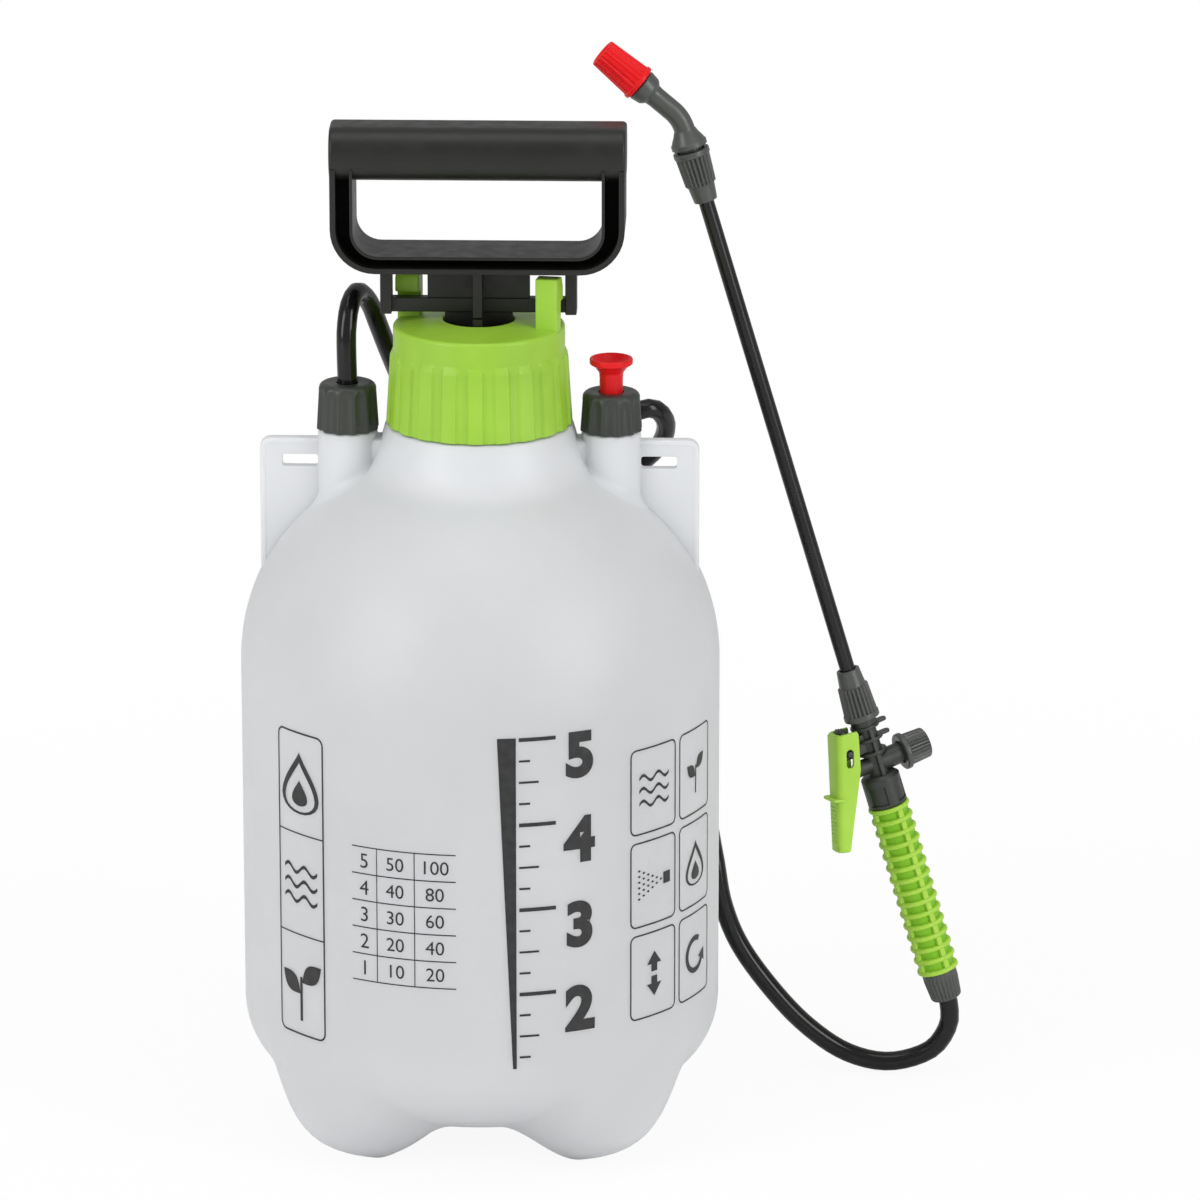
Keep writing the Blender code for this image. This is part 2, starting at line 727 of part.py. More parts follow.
def build_side_nut(name, side, height, hole):
    bottom, top = NUT_BOTTOM, NUT_BOTTOM + height
    thread = SPIGOT_RADIUS + SLIDE_CLEARANCE
    plate = top - NUT_TOP_PLATE
    profile = [
        (hole, top),
        (NUT_TOP_RADIUS - 0.0018, top),
        (NUT_TOP_RADIUS, top - 0.0014),
        (NUT_RADIUS, bottom),
        (thread, bottom),
        (thread, plate),
        (hole, plate),
    ]
    at = (side * SIDE_NECK_OFFSET, 0, 0)
    nut = turned(name, profile, ROOT, CHARCOAL, at, steps=20)
    out = NUT_FLUTE_RADIUS - NUT_FLUTE_DEPTH
    high = (NUT_TOP_RADIUS + out, top - 0.0008 - NUT_FLUTE_RADIUS)
    low = (NUT_RADIUS + out, bottom - 0.004)
    cut(nut, flutes(f"{name}_flutes", NUT_FLUTES, high, low, NUT_FLUTE_RADIUS, ROOT, at))


def build_outlet():
    at = (-SIDE_NECK_OFFSET, 0, 0)
    build_side_nut("outlet_nut", -1, OUTLET_NUT_HEIGHT, HOSE_BORE)
    fit = SPIGOT_BORE - GAP
    seal_low = SPIGOT_TOP + GAP
    seal_high = seal_low + OUTLET_SEAL_THICKNESS
    inner = fit + 0.0004
    outer = FITTING_FLANGE_RADIUS
    ring = [(inner, seal_high), (outer, seal_high), (outer, seal_low), (inner, seal_low)]
    turned("outlet_seal", ring, ROOT, RUBBER, at)
    flange_low = seal_high + GAP
    flange_high = flange_low + FITTING_FLANGE
    socket = DIP_TUBE_RADIUS + GAP
    low = dome_height(SIDE_NECK_OFFSET, TANK_WALL) - 0.004
    step = low + DIP_SOCKET_DEPTH
    profile = [
        (OUTLET_BORE, flange_high),
        (FITTING_FLANGE_RADIUS, flange_high),
        (FITTING_FLANGE_RADIUS, flange_low),
        (fit, flange_low),
        (fit, low),
        (socket, low),
        (socket, step),
        (OUTLET_BORE, step),
    ]
    turned("outlet_body", profile, ROOT, BLACK, at)
    floor = valley(1 - SIDE_NECK_OFFSET / TANK_RADIUS, TANK_WALL)[1]
    end = floor + DIP_TUBE_FLOOR_GAP
    bore = DIP_TUBE_RADIUS - DIP_TUBE_WALL
    high = step - GAP
    pipe = [(bore, high), (DIP_TUBE_RADIUS, high), (DIP_TUBE_RADIUS, end), (bore, end)]
    turned("dip_tube", pipe, ROOT, CLEAR, at, steps=COARSE)
    outer = socket + FILTER_WALL
    cup = end - GAP
    basket = [
        (socket, cup + FILTER_LENGTH),
        (outer, cup + FILTER_LENGTH),
        (outer, cup - FILTER_WALL),
        (0, cup - FILTER_WALL),
        (0, cup),
        (socket, cup),
    ]
    strainer = turned("dip_filter", basket, ROOT, BLACK, at, steps=COARSE, ring=False)
    strainer.data.edges.add(1)
    strainer.data.edges[-1].vertices = (len(basket) - 1, 0)
    for i in range(FILTER_SLOTS // 2):
        turn = (0, 0, math.pi * (i + 0.5) / (FILTER_SLOTS // 2))
        low, high = cup + 0.002, cup + FILTER_LENGTH * 0.6
        corners = (-2 * outer, -0.001, low), (2 * outer, 0.001, high)
        slot = block(f"filter_slot_{i}", *corners, ROOT, None, at, turn)
        cut(strainer, slot)


def build_relief():
    at = (SIDE_NECK_OFFSET, 0, 0)
    stem_hole = RELIEF_STEM_RADIUS + SLIDE_CLEARANCE
    build_side_nut("relief_nut", 1, RELIEF_NUT_HEIGHT, stem_hole)
    fit = SPIGOT_BORE - GAP
    flange_low = SPIGOT_TOP + GAP
    flange_high = flange_low + FITTING_FLANGE
    pin_hole = RELIEF_PIN_RADIUS + SLIDE_CLEARANCE
    low = flange_low - RELIEF_SPRING_SPARE - RELIEF_LIFT
    roof = flange_low - 0.002
    seat = low + RELIEF_SEAT
    profile = [
        (pin_hole, flange_high),
        (FITTING_FLANGE_RADIUS, flange_high),
        (FITTING_FLANGE_RADIUS, flange_low),
        (fit, flange_low),
        (fit, low),
        (RELIEF_SEAT_HOLE, low),
        (RELIEF_SEAT_HOLE, seat),
        (RELIEF_BORE, seat),
        (RELIEF_BORE, roof),
        (pin_hole, roof),
    ]
    turned("relief_body", profile, ROOT, BLACK, at)
    moving = empty("relief_lift", ROOT, at)
    disc = RELIEF_BORE - SLIDE_CLEARANCE
    seal_top = seat + GAP + RELIEF_SEAL
    rod("relief_seal", disc, seat + GAP, seal_top, moving, steps=COARSE, look=RUBBER)
    cup_low = seal_top + GAP
    cup_high = cup_low + RELIEF_POPPET
    floor = cup_low + 0.0012
    socket = RELIEF_PIN_RADIUS + GAP
    poppet = [(disc, cup_high), (disc, cup_low), (0, cup_low)]
    poppet += [(0, floor), (socket, floor), (socket, cup_high)]
    made = turned("relief_poppet", poppet, moving, CHARCOAL, steps=COARSE, ring=False)
    made.data.edges.add(1)
    made.data.edges[-1].vertices = (len(poppet) - 1, 0)
    base = flange_high + GAP
    top = base + RELIEF_KNOB_HEIGHT
    rim, stem, pin = RELIEF_KNOB_RADIUS, RELIEF_STEM_RADIUS, RELIEF_PIN_RADIUS
    knob = [
        (0, top - RELIEF_DISH),
        (0.35 * rim, top - 0.9 * RELIEF_DISH),
        (0.7 * rim, top - 0.45 * RELIEF_DISH),
        (rim - 0.0007, top),
        (rim, top - 0.0008),
        (rim - 0.0006, top - 0.0022),
        (between(stem, rim, 0.45), top - 0.0042),
        (stem + 0.0004, top - 0.0066),
        (stem, top - 0.0080),
        (stem, base),
        (pin, base),
        (pin, floor + GAP),
        (0, floor + GAP),
    ]
    turned("relief_knob", knob, moving, RED, ring=False)
    wire = RELIEF_WIRE
    radius = between(pin, RELIEF_BORE, 0.5)
    points, gap = coil(radius, cup_high + GAP, roof - GAP, RELIEF_COILS, wire)
    tube("relief_spring", points, wire / 2, moving, STEEL, resolution=1)
    print(f"relief spring: least gap to itself {gap * 1000:.2f} mm")


# Pump

def build_cap():
    inner = NECK_RADIUS + THREAD_CLEARANCE
    seat = FLANGE_TOP + GAP
    chamber = CAP_BAND_RADIUS - 0.0036
    under = CAP_TOP - CAP_TOP_PLATE
    profile = [
        (CAP_HOLE, CAP_PEAK),
        (CAP_BAND_RADIUS - 0.0014, CAP_TOP + 0.0004),
        (CAP_BAND_RADIUS, CAP_TOP - 0.0010),
        (CAP_BAND_RADIUS, CAP_SHOULDER),
        (CAP_SKIRT_TOP_RADIUS, CAP_SHOULDER - CAP_CHAMFER),
        (CAP_RADIUS, CAP_BOTTOM + 0.0008),
        (CAP_RADIUS - 0.0006, CAP_BOTTOM),
        (inner, CAP_BOTTOM),
        (inner, seat),
        (chamber, seat),
        (chamber, under),
        (CAP_HOLE, under + CAP_CROWN),
    ]
    cap = turned("pump_cap", profile, PUMP, GREEN, steps=42)
    out = CAP_FLUTE_RADIUS - CAP_FLUTE_DEPTH
    top = (CAP_SKIRT_TOP_RADIUS + out, CAP_SHOULDER)
    bottom = (CAP_RADIUS + out, CAP_BOTTOM - 0.010)
    spin = (0, 0, math.pi / 2)
    cut(cap, flutes("cap_flutes", CAP_FLUTES, top, bottom, CAP_FLUTE_RADIUS, PUMP, turn=spin))
    # Two hooks, opposite each other: a post with a nose that reaches over the locking bar.
    near = BAR_THICKNESS / 2 + SLIDE_CLEARANCE
    far = near + HOOK_THICKNESS
    tip = near - HOOK_REACH
    low = under + CAP_CROWN
    nose_low = BAR_TOP + SLIDE_CLEARANCE
    nose_high = nose_low + HOOK_NOSE
    outline = [
        (near, low),
        (near, nose_low),
        (tip, nose_low),
        (tip, between(nose_low, nose_high, 0.55)),
        (between(tip, near, 0.6), nose_high),
        (far, nose_high),
        (far, low),
    ]
    inner_face = CAP_BAND_RADIUS - HOOK_LENGTH
    trim = rod("hook_trim", CAP_BAND_RADIUS - GAP, low - 0.01, nose_high + 0.01, PUMP, steps=42)
    for i in range(2):
        turn = math.pi * i - LOCK_ANGLE
        spin = Matrix.Rotation(turn, 4, "Z")
        at = spin @ Vector((-(inner_face + HOOK_LENGTH), 0, 0))
        hook = prism(f"hook_{i}", outline, 2 * HOOK_LENGTH, PUMP, None, at, (0, 0, turn + math.pi / 2))
        boolean(hook, trim, "INTERSECT")
        join(cap, hook)
    return cap


def build_barrel():
    low = NECK_TOP + GAP
    ring = (NECK_RADIUS - NECK_WALL + 0.0004, NECK_RADIUS - 0.0002)
    gasket = [(ring[0], low + GASKET), (ring[1], low + GASKET), (ring[1], low), (ring[0], low)]
    turned("cap_gasket", gasket, PUMP, RUBBER)
    flange_low = low + GASKET + GAP
    flange = NECK_RADIUS - 0.0001
    floor = BARREL_BOTTOM + BARREL_FLOOR
    profile = [
        (BARREL_BORE, FLANGE_TOP),
        (flange, FLANGE_TOP),
        (flange, flange_low),
        (BARREL_RADIUS, flange_low),
        (BARREL_RADIUS, BARREL_BOTTOM),
        (VALVE_STEM_HOLE, BARREL_BOTTOM),
        (VALVE_STEM_HOLE, floor),
        (BARREL_BORE, floor),
    ]
    barrel = turned("pump_barrel", profile, PUMP, BLACK)
    for i in range(PORT_COUNT):
        angle = 2 * math.pi * (i + 0.4) / PORT_COUNT
        at = (PORT_CIRCLE * math.cos(angle), PORT_CIRCLE * math.sin(angle), 0)
        cut(barrel, rod(f"port_{i}", PORT_RADIUS, BARREL_BOTTOM - 0.01, floor + 0.001, PUMP, at, steps=8))
    stem = VALVE_STEM_HOLE - GAP
    under = BARREL_BOTTOM - GAP
    bulb = VALVE_STEM_HOLE + 0.0006
    umbrella = [
        (0, floor + GAP + 0.0020),
        (stem, floor + GAP + 0.0018),
        (bulb, floor + GAP),
        (stem, floor + GAP),
        (stem, under),
        (UMBRELLA_RADIUS, under),
        (UMBRELLA_RADIUS, under - 0.0008),
        (0.5 * UMBRELLA_RADIUS, under - 0.0024),
        (0, under - 0.0028),
    ]
    turned("check_valve", umbrella, PUMP, RUBBER, ring=False, steps=COARSE)
    sleeve = BARREL_BORE - GAP
    rest = FLANGE_TOP + GAP
    bush = [
        (CAP_HOLE, rest + 0.0020),
        (BUSH_FLANGE_RADIUS, rest + 0.0020),
        (BUSH_FLANGE_RADIUS, rest),
        (sleeve, rest),
        (sleeve, FLANGE_TOP - BUSH_LENGTH),
        (CAP_HOLE, FLANGE_TOP - BUSH_LENGTH),
    ]
    turned("guide_bush", bush, PUMP, CHARCOAL)


def build_piston():
    radius = BARREL_BORE - SLIDE_CLEARANCE
    groove = radius - PISTON_SEAL_WIDTH
    middle = between(PISTON_BOTTOM, PISTON_TOP, 0.5)
    half = PISTON_SEAL_WIDTH / 2 + GAP
    profile = [
        (0, PISTON_TOP),
        (radius - 0.001, PISTON_TOP),
        (radius, PISTON_TOP - 0.001),
        (radius, middle + half),
        (groove, middle + half),
        (groove, middle - half),
        (radius, middle - half),
        (radius, PISTON_BOTTOM),
        (0, PISTON_BOTTOM),
    ]
    turned("piston_head", profile, PISTON, CHARCOAL, ring=False)
    low, high = groove + GAP, BARREL_BORE - GAP
    centre, thick = (low + high) / 2, (high - low) / 2
    section = [
        (centre + thick * math.sin(math.pi * i / 4), middle + thick * math.cos(math.pi * i / 4))
        for i in range(8)
    ]
    turned("piston_seal", section, PISTON, RUBBER)


def build_handle():
    half = HANDLE_WIDTH / 2 - GAP
    bottom, top = HANDLE_BOTTOM, HANDLE_TOP
    grip_low = top - GRIP_HEIGHT
    window_low = bottom + STIRRUP_BOTTOM
    window = half - STIRRUP_SIDE
    middle = grip_low + GRIP_HEIGHT / 2
    stirrup = rounded([
        (-half, middle, 0),
        (-half, bottom, OUTER_CORNER),
        (half, bottom, OUTER_CORNER),
        (half, middle, 0),
        (window, middle, 0),
        (window, window_low, INNER_CORNER),
        (-window, window_low, INNER_CORNER),
        (-window, middle, 0),
    ], 4)
    handle = prism("pump_handle", stirrup, HANDLE_DEPTH - 2 * GAP, HANDLE, CHARCOAL)
    # The stirrup is an I section: a groove in front and one behind, between two rims.
    rim, lip = STIRRUP_RIM, STIRRUP_INNER_RIM
    channel = rounded([
        (-half + rim, grip_low - rim, 0),
        (-half + rim, bottom + rim, OUTER_CORNER - rim),
        (half - rim, bottom + rim, OUTER_CORNER - rim),
        (half - rim, grip_low - rim, 0),
        (window + lip, grip_low - rim, 0),
        (window + lip, window_low - lip, INNER_CORNER + lip),
        (-window - lip, window_low - lip, INNER_CORNER + lip),
        (-window - lip, grip_low - rim, 0),
    ], 4)
    deep = (HANDLE_DEPTH - STIRRUP_WEB) / 2
    for side, word in ((-1, "front"), (1, "back")):
        place = (0, side * (STIRRUP_WEB / 2 + deep), 0)
        cut(handle, prism(f"{word}_channel", channel, 2 * deep, HANDLE, None, place))
    deep_half, r = HANDLE_DEPTH / 2, GRIP_ROUNDING
    section = rounded([
        (-deep_half, grip_low, r),
        (-deep_half, top, r),
        (deep_half, top, r),
        (deep_half, grip_low, r),
    ], 4)
    grip = prism("handle_grip", section, HANDLE_WIDTH, HANDLE, None, turn=(0, 0, math.pi / 2))
    bevel(grip, 0.0015, 1, math.radians(60))
    # The locking bar hangs on two legs and on the web over the rod.
    sunk = bottom + STIRRUP_RIM / 2
    leg_in = CAP_BAND_RADIUS + SLIDE_CLEARANCE / 2
    leg_out = leg_in + LEG_WIDTH
    bar_end = leg_in + LEG_WIDTH / 2
    thick = BAR_THICKNESS / 2
    bar = block("locking_bar", (-bar_end, -thick, BAR_BOTTOM), (bar_end, thick, BAR_TOP), HANDLE)
    leg_low = BAR_BOTTOM - GAP
    legs = [
        block(f"leg_{i}", (a, -LEG_DEPTH / 2, leg_low), (b, LEG_DEPTH / 2, sunk), HANDLE)
        for i, (a, b) in enumerate(((-leg_out, -leg_in), (leg_in, leg_out)))
    ]
    wide, thin, deep = CENTRE_WEB_WIDTH / 2, ROD_RIB / 2, ROD_RADIUS
    web = block("centre_web", (-wide, -thin, BAR_TOP - GAP), (wide, thin, sunk - GAP), HANDLE)
    rib = block("centre_rib", (-thin, -deep, BAR_BOTTOM + GAP), (thin, deep, sunk - 2 * GAP), HANDLE)
    join(handle, grip, bar, *legs, web, rib)
    low, high = PISTON_TOP + GAP, BAR_BOTTOM - GAP
    side = math.sqrt(ROD_RADIUS**2 - thin**2)
    cross = [
        (thin, thin), (side, thin), (side, -thin), (thin, -thin), (thin, -side), (-thin, -side),
        (-thin, -thin), (-side, -thin), (-side, thin), (-thin, thin), (-thin, side), (thin, side),
    ]
    at, turn = (0, 0, (low + high) / 2), (math.pi / 2, 0, 0)
    rod_object = prism("piston_rod", cross, high - low, HANDLE, CHARCOAL, at, turn)
    foot_disc = rod("rod_foot", ROD_RADIUS, low, low + 0.003, HANDLE, steps=MEDIUM)
    join(rod_object, foot_disc)


# Lance

def knurled(
    obj, name, top, bottom, parent, at=(0, 0, 0), turn=(0, 0, 0), count=KNURL_COUNT, radius=KNURL_RADIUS
):
    cut(obj, flutes(name, count, top, bottom, radius, parent, at, turn, sides=6, rings=4))


def build_grip():
    low, high = HOSE_NUT_BOTTOM, HOSE_NUT_BOTTOM + HOSE_NUT_LENGTH
    thread = GRIP_TUBE_RADIUS + SLIDE_CLEARANCE
    plate = low + HOSE_NUT_PLATE
    profile = [
        (thread, high),
        (HOSE_NUT_TOP_RADIUS, high),
        (HOSE_NUT_TOP_RADIUS, high - 0.0020),
        (HOSE_NUT_RADIUS, low + 0.0006),
        (HOSE_NUT_RADIUS - 0.0006, low),
        (HOSE_BORE, low),
        (HOSE_BORE, plate),
        (thread, plate),
    ]
    nut = turned("hose_nut", profile, LANCE, CHARCOAL, steps=18)
    start, end = (HOSE_NUT_TOP_RADIUS, high - 0.0030), (HOSE_NUT_RADIUS, low - 0.003)
    knurled(nut, "hose_nut_knurl", start, end, LANCE)
    pitch = (GRIP_LENGTH - GRIP_RING_WIDTH) / (GRIP_RINGS - 1)
    bore = GRIP_TUBE_RADIUS + GAP
    outline = [(bore, GRIP_TOP)]
    for i in range(GRIP_RINGS):
        top = GRIP_TOP - pitch * i
        outline += [(GRIP_RING_RADIUS, top), (GRIP_RING_RADIUS, top - GRIP_RING_WIDTH)]
        if i < GRIP_RINGS - 1:
            outline += [(GRIP_CORE, top - GRIP_RING_WIDTH), (GRIP_CORE, top - pitch)]
    outline.append((bore, GRIP_BOTTOM))
    grip = turned("grip", outline, LANCE, GREEN, steps=12)
    inside = between(bore, GRIP_CORE, 0.5)
    for i in range(GRIP_BARS):
        turn = (0, 0, GRIP_BAR_TURN + 2 * math.pi * i / GRIP_BARS)
        low_corner = (inside, -GRIP_BAR_WIDTH / 2, GRIP_BOTTOM + GRIP_RING_WIDTH / 2)
        high_corner = (GRIP_BAR_RADIUS, GRIP_BAR_WIDTH / 2, GRIP_TOP - GRIP_RING_WIDTH / 2)
        join(grip, block(f"grip_bar_{i}", low_corner, high_corner, LANCE, None, turn=turn))
    top = COLLAR_TOP - COLLAR_LENGTH * 0.3
    end = GRIP_TUBE_END
    pipe = [(GRIP_TUBE_BORE, top), (GRIP_TUBE_RADIUS, top), (GRIP_TUBE_RADIUS, end), (GRIP_TUBE_BORE, end)]
    turned("grip_tube", pipe, LANCE, BLACK, steps=COARSE)


def build_valve():
    low = GRIP_TOP + GAP
    socket = GRIP_TUBE_RADIUS + GAP
    step = COLLAR_TOP - COLLAR_LENGTH * 0.3 + GAP
    waist = COLLAR_TOP + 0.0012
    neck = LOWER_NUT_START - GAP - 0.0005
    tube_socket = LANCE_RADIUS + GAP
    profile = [
        (0, LANCE_SPIGOT_TOP),
        (SPIGOT_THREAD_RADIUS, LANCE_SPIGOT_TOP),
        (SPIGOT_THREAD_RADIUS, neck),
        (NECK_CORE_RADIUS, neck),
    ]
    for height in reversed(VALVE_DISC_HEIGHTS):
        top, under = height + VALVE_DISC_WIDTH / 2, height - VALVE_DISC_WIDTH / 2
        profile += [(NECK_CORE_RADIUS, top), (VALVE_DISC_RADIUS, top)]
        profile += [(VALVE_DISC_RADIUS, under), (NECK_CORE_RADIUS, under)]
    profile += [
        (NECK_CORE_RADIUS, waist),
        (COLLAR_RADIUS - 0.0008, COLLAR_TOP),
        (COLLAR_RADIUS, COLLAR_TOP - 0.0008),
        (COLLAR_RADIUS, low),
        (0, low),
    ]
    body = turned("valve_body", profile, VALVE, CHARCOAL, (0, 0, 0), (0, 0, 0.05), 18, ring=False)
    sideways = (0, math.pi / 2, 0)
    at = (0, 0, CROSS_HEIGHT)
    left = rod("cross_left", CROSS_LEFT_RADIUS, CROSS_LEFT_END, 0, VALVE, at, sideways, 16)
    right = rod("cross_right", CROSS_RIGHT_RADIUS, 0, CROSS_RIGHT_END, VALVE, at, sideways, 20)
    reach = VALVE_DISC_RADIUS - 0.0004
    web_top = VALVE_DISC_HEIGHTS[-1]
    thin = WEB_WIDTH / 2
    web = block("front_web", (-thin, -reach, COLLAR_TOP - 0.001), (thin, reach, web_top), VALVE)
    tab_end, half = VALVE_DISC_RADIUS + 0.0034, VALVE_DISC_WIDTH * 0.4
    tabs = [
        block(f"tab_{i}", (0, -0.0026, h - half), (tab_end, 0.0026, h + half), VALVE)
        for i, h in enumerate(VALVE_DISC_HEIGHTS[1:])
    ]
    # The lug that carries the trigger's pin reaches into the trigger from the neck.
    lug_outline = rounded([
        (0, PIN_HEIGHT + LUG_RADIUS + 0.0012, 0),
        (PIN_X - 0.0014, PIN_HEIGHT + LUG_RADIUS + 0.0028, 0.0016),
        (PIN_X - LUG_RADIUS, PIN_HEIGHT - LUG_RADIUS, LUG_RADIUS * 0.8),
        (0, PIN_HEIGHT - LUG_RADIUS, 0),
    ], 4)
    lug = prism("pin_lug", lug_outline, LUG_WIDTH, VALVE, None)
    pin_place = (PIN_X, 0, PIN_HEIGHT)
    across = (math.pi / 2, 0.1, 0)
    pin_way = rod("pin_way", PIN_RADIUS + GAP / 2, -LUG_WIDTH, LUG_WIDTH, VALVE, pin_place, across, 12)
    cut(lug, pin_way)
    join(body, left, right, web, *tabs, lug)
    # Bores: the water's way up, the stem's way across, the spring's chamber and the pin's hole.
    way = rod("water_way", STEM_RADIUS, step - 0.001, LANCE_START, VALVE, steps=12)
    tube_way = rod("tube_way", tube_socket, LANCE_START - GAP, LANCE_SPIGOT_TOP + 0.01, VALVE, steps=16)
    grip_way = rod("grip_way", socket, low - 0.01, step, VALVE, steps=16)
    chamber_start = 0.0055
    room, far = CROSS_RIGHT_RADIUS - 0.0013, CROSS_RIGHT_END + 0.01
    chamber = rod("spring_chamber", room, chamber_start, far, VALVE, at, sideways, 16)
    loose, near = STEM_RADIUS + SLIDE_CLEARANCE, CROSS_LEFT_END - 0.01
    stem_way = rod("stem_way", loose, near, chamber_start + 0.002, VALVE, at, sideways, 16)
    panels = []
    for i in range(4):
        turn = (0, 0, math.pi / 4 + math.pi / 2 * i)
        low_corner = (COLLAR_RADIUS - PANEL_DEPTH, -0.0026, low + 0.0014)
        high_corner = (COLLAR_RADIUS + 0.002, 0.0026, COLLAR_TOP - 0.0034)
        panels.append(block(f"panel_{i}", low_corner, high_corner, VALVE, None, turn=turn))
    cut(body, way, tube_way, grip_way, chamber, stem_way, *panels)
    reach = TRIGGER_WIDTH / 2 - 0.0002
    rod("trigger_pin", PIN_RADIUS, -reach, reach, VALVE, pin_place, (math.pi / 2, 0, 0), 12, STEEL)
    build_stem(at, sideways, chamber_start)


def build_stem(at, sideways, chamber_start):
    """The stem lies along the cross pipe: its left end meets the trigger, its right end has the disc."""
    end = KNOB_START + KNOB_LENGTH - KNOB_END_PLATE
    chamber = CROSS_RIGHT_RADIUS - 0.0013
    thread = CROSS_RIGHT_RADIUS + SLIDE_CLEARANCE
    profile = [
        (0, KNOB_START + KNOB_LENGTH),
        (KNOB_END_RADIUS - 0.0008, KNOB_START + KNOB_LENGTH),
        (KNOB_END_RADIUS, KNOB_START + KNOB_LENGTH - 0.0008),
        (KNOB_RADIUS, KNOB_START + 0.0020),
        (KNOB_RIM_RADIUS, KNOB_START + 0.0018),
        (KNOB_RIM_RADIUS, KNOB_START),
        (thread, KNOB_START),
        (thread, end),
        (0, end),
    ]
    knob = turned("valve_knob", profile, VALVE, CHARCOAL, at, sideways, 18, ring=False)
    top = (KNOB_END_RADIUS + 0.0001, KNOB_START + KNOB_LENGTH + 0.002)
    knurled(knob, "valve_knob_knurl", top, (KNOB_RADIUS + 0.0001, KNOB_START + 0.0030), VALVE, at, sideways)
    travel = math.tan(TRIGGER_SQUEEZE) * (PIN_HEIGHT - CROSS_HEIGHT)
    seal_low = chamber_start + GAP
    seal_high = seal_low + 0.0014
    seal_bore = STEM_RADIUS + GAP
    disc = chamber - SLIDE_CLEARANCE
    ring = [(seal_bore, seal_high), (disc, seal_high), (disc, seal_low), (seal_bore, seal_low)]
    turned("stem_seal", ring, STEM, RUBBER, at, sideways, COARSE)
    head_low = seal_high + GAP
    head_high = head_low + 0.0012
    wall = (TRIGGER_FRONT - TRIGGER_WALL) / math.cos(TRIGGER_LEAN)
    wall += (PIN_HEIGHT - CROSS_HEIGHT) * math.tan(TRIGGER_LEAN)
    tip = PIN_X - wall + GAP
    stem = [
        (0, head_high), (disc, head_high), (disc, head_low), (STEM_RADIUS, head_low),
        (STEM_RADIUS, tip + 0.0012), (STEM_RADIUS * 0.5, tip + 0.0004), (0, tip + 0.0004),
    ]
    turned("valve_stem", stem, STEM, BRASS, at, sideways, COARSE, ring=False)
    wire = VALVE_SPRING_WIRE
    low, high = head_high + GAP, end - GAP - travel * 1.2
    points, gap = coil(disc - wire, low, high, VALVE_SPRING_COILS, wire)
    tube("valve_spring", points, wire / 2, STEM, STEEL, 1, at, sideways)
    print(f"valve spring: least gap to itself {gap * 1000:.2f} mm")


def build_trigger():
    """Built on the pin: Z runs up the trigger's front face, X towards the grip."""
    top, end = TRIGGER_TOP, TRIGGER_TOP - TRIGGER_LENGTH
    front = -TRIGGER_FRONT
    belly = between(top, end, 0.38)
    outline = rounded([
        (front, top, 0.0012),
        (front, end, 0.0018),
        (front + TRIGGER_TIP_DEPTH, end, 0.0018),
        (front + TRIGGER_BELLY_DEPTH, belly, 0.006),
        (front + TRIGGER_TOP_DEPTH, top + 0.0016, 0.0010),
    ], 3)
    trigger = prism("trigger", outline, TRIGGER_WIDTH, TRIGGER, GREEN)
    # The cheeks draw in towards the tip.
    draw = (TRIGGER_WIDTH - TRIGGER_TIP_WIDTH) / 2
    for v in trigger.data.vertices:
        share = max(0.0, (belly - v.co.z) / (belly - end))
        v.co.y -= math.copysign(draw * share, v.co.y)
    bevel(trigger, 0.0007, 2)
    hollow = [
        (front + TRIGGER_WALL, top + 0.01),
        (front + TRIGGER_WALL, end + TRIGGER_WALL * 1.4),
        (front + TRIGGER_TIP_DEPTH, end + TRIGGER_WALL * 1.4),
        (front + TRIGGER_BELLY_DEPTH + 0.01, belly),
        (front + TRIGGER_TOP_DEPTH + 0.01, top + 0.01),
    ]
    inside = prism("trigger_hollow", hollow, TRIGGER_WIDTH - 2 * TRIGGER_WALL, TRIGGER, None)
    for v in inside.data.vertices:
        share = max(0.0, (belly - v.co.z) / (belly - end))
        v.co.y -= math.copysign(draw * share, v.co.y)
    wide = PIN_RADIUS + GAP
    slot = rounded([
        (-wide, wide, wide * 0.95),
        (wide, wide, wide * 0.95),
        (wide, wide - TRIGGER_SLOT_LENGTH, wide * 0.95),
        (-wide, wide - TRIGGER_SLOT_LENGTH, wide * 0.95),
    ], 3)
    cheek_slot = prism("cheek_slot", slot, 2 * TRIGGER_WIDTH, TRIGGER, None)
    middle = between(top, end, 0.545)
    ridge = block(
        "finger_ridge",
        (front - FINGER_RIDGE_REACH, -TRIGGER_WIDTH * 0.36, middle - FINGER_RIDGE_HEIGHT / 2),
        (front + TRIGGER_WALL / 2, TRIGGER_WIDTH * 0.36, middle + FINGER_RIDGE_HEIGHT / 2),
        TRIGGER,
    )
    bevel(ridge, 0.0003, 1)
    join(trigger, ridge)
    cut(trigger, inside, cheek_slot)


def lance_nut_profile(start, bore, sign):
    """A ribbed nut with a smooth sleeve. It runs up from its rim, or down from it where sign is -1."""
    thread = SPIGOT_THREAD_RADIUS + SLIDE_CLEARANCE
    plate = NUT_RIM + NUT_BODY - 0.0022
    end = NUT_RIM + NUT_BODY + NUT_SLEEVE
    up = [
        (bore, end),
        (NUT_SLEEVE_END_RADIUS, end),
        (NUT_SLEEVE_RADIUS, end - NUT_SLEEVE + 0.0006),
        (NUT_BODY_RADIUS, end - NUT_SLEEVE - 0.0006),
        (NUT_RIM_RADIUS - 0.0006, NUT_RIM),
        (NUT_RIM_RADIUS, NUT_RIM - 0.0004),
        (NUT_RIM_RADIUS, 0),
        (thread, 0),
        (thread, plate),
        (bore, plate),
    ]
    placed = [(r, start + sign * z) for r, z in up]
    return placed if sign > 0 else placed[::-1]


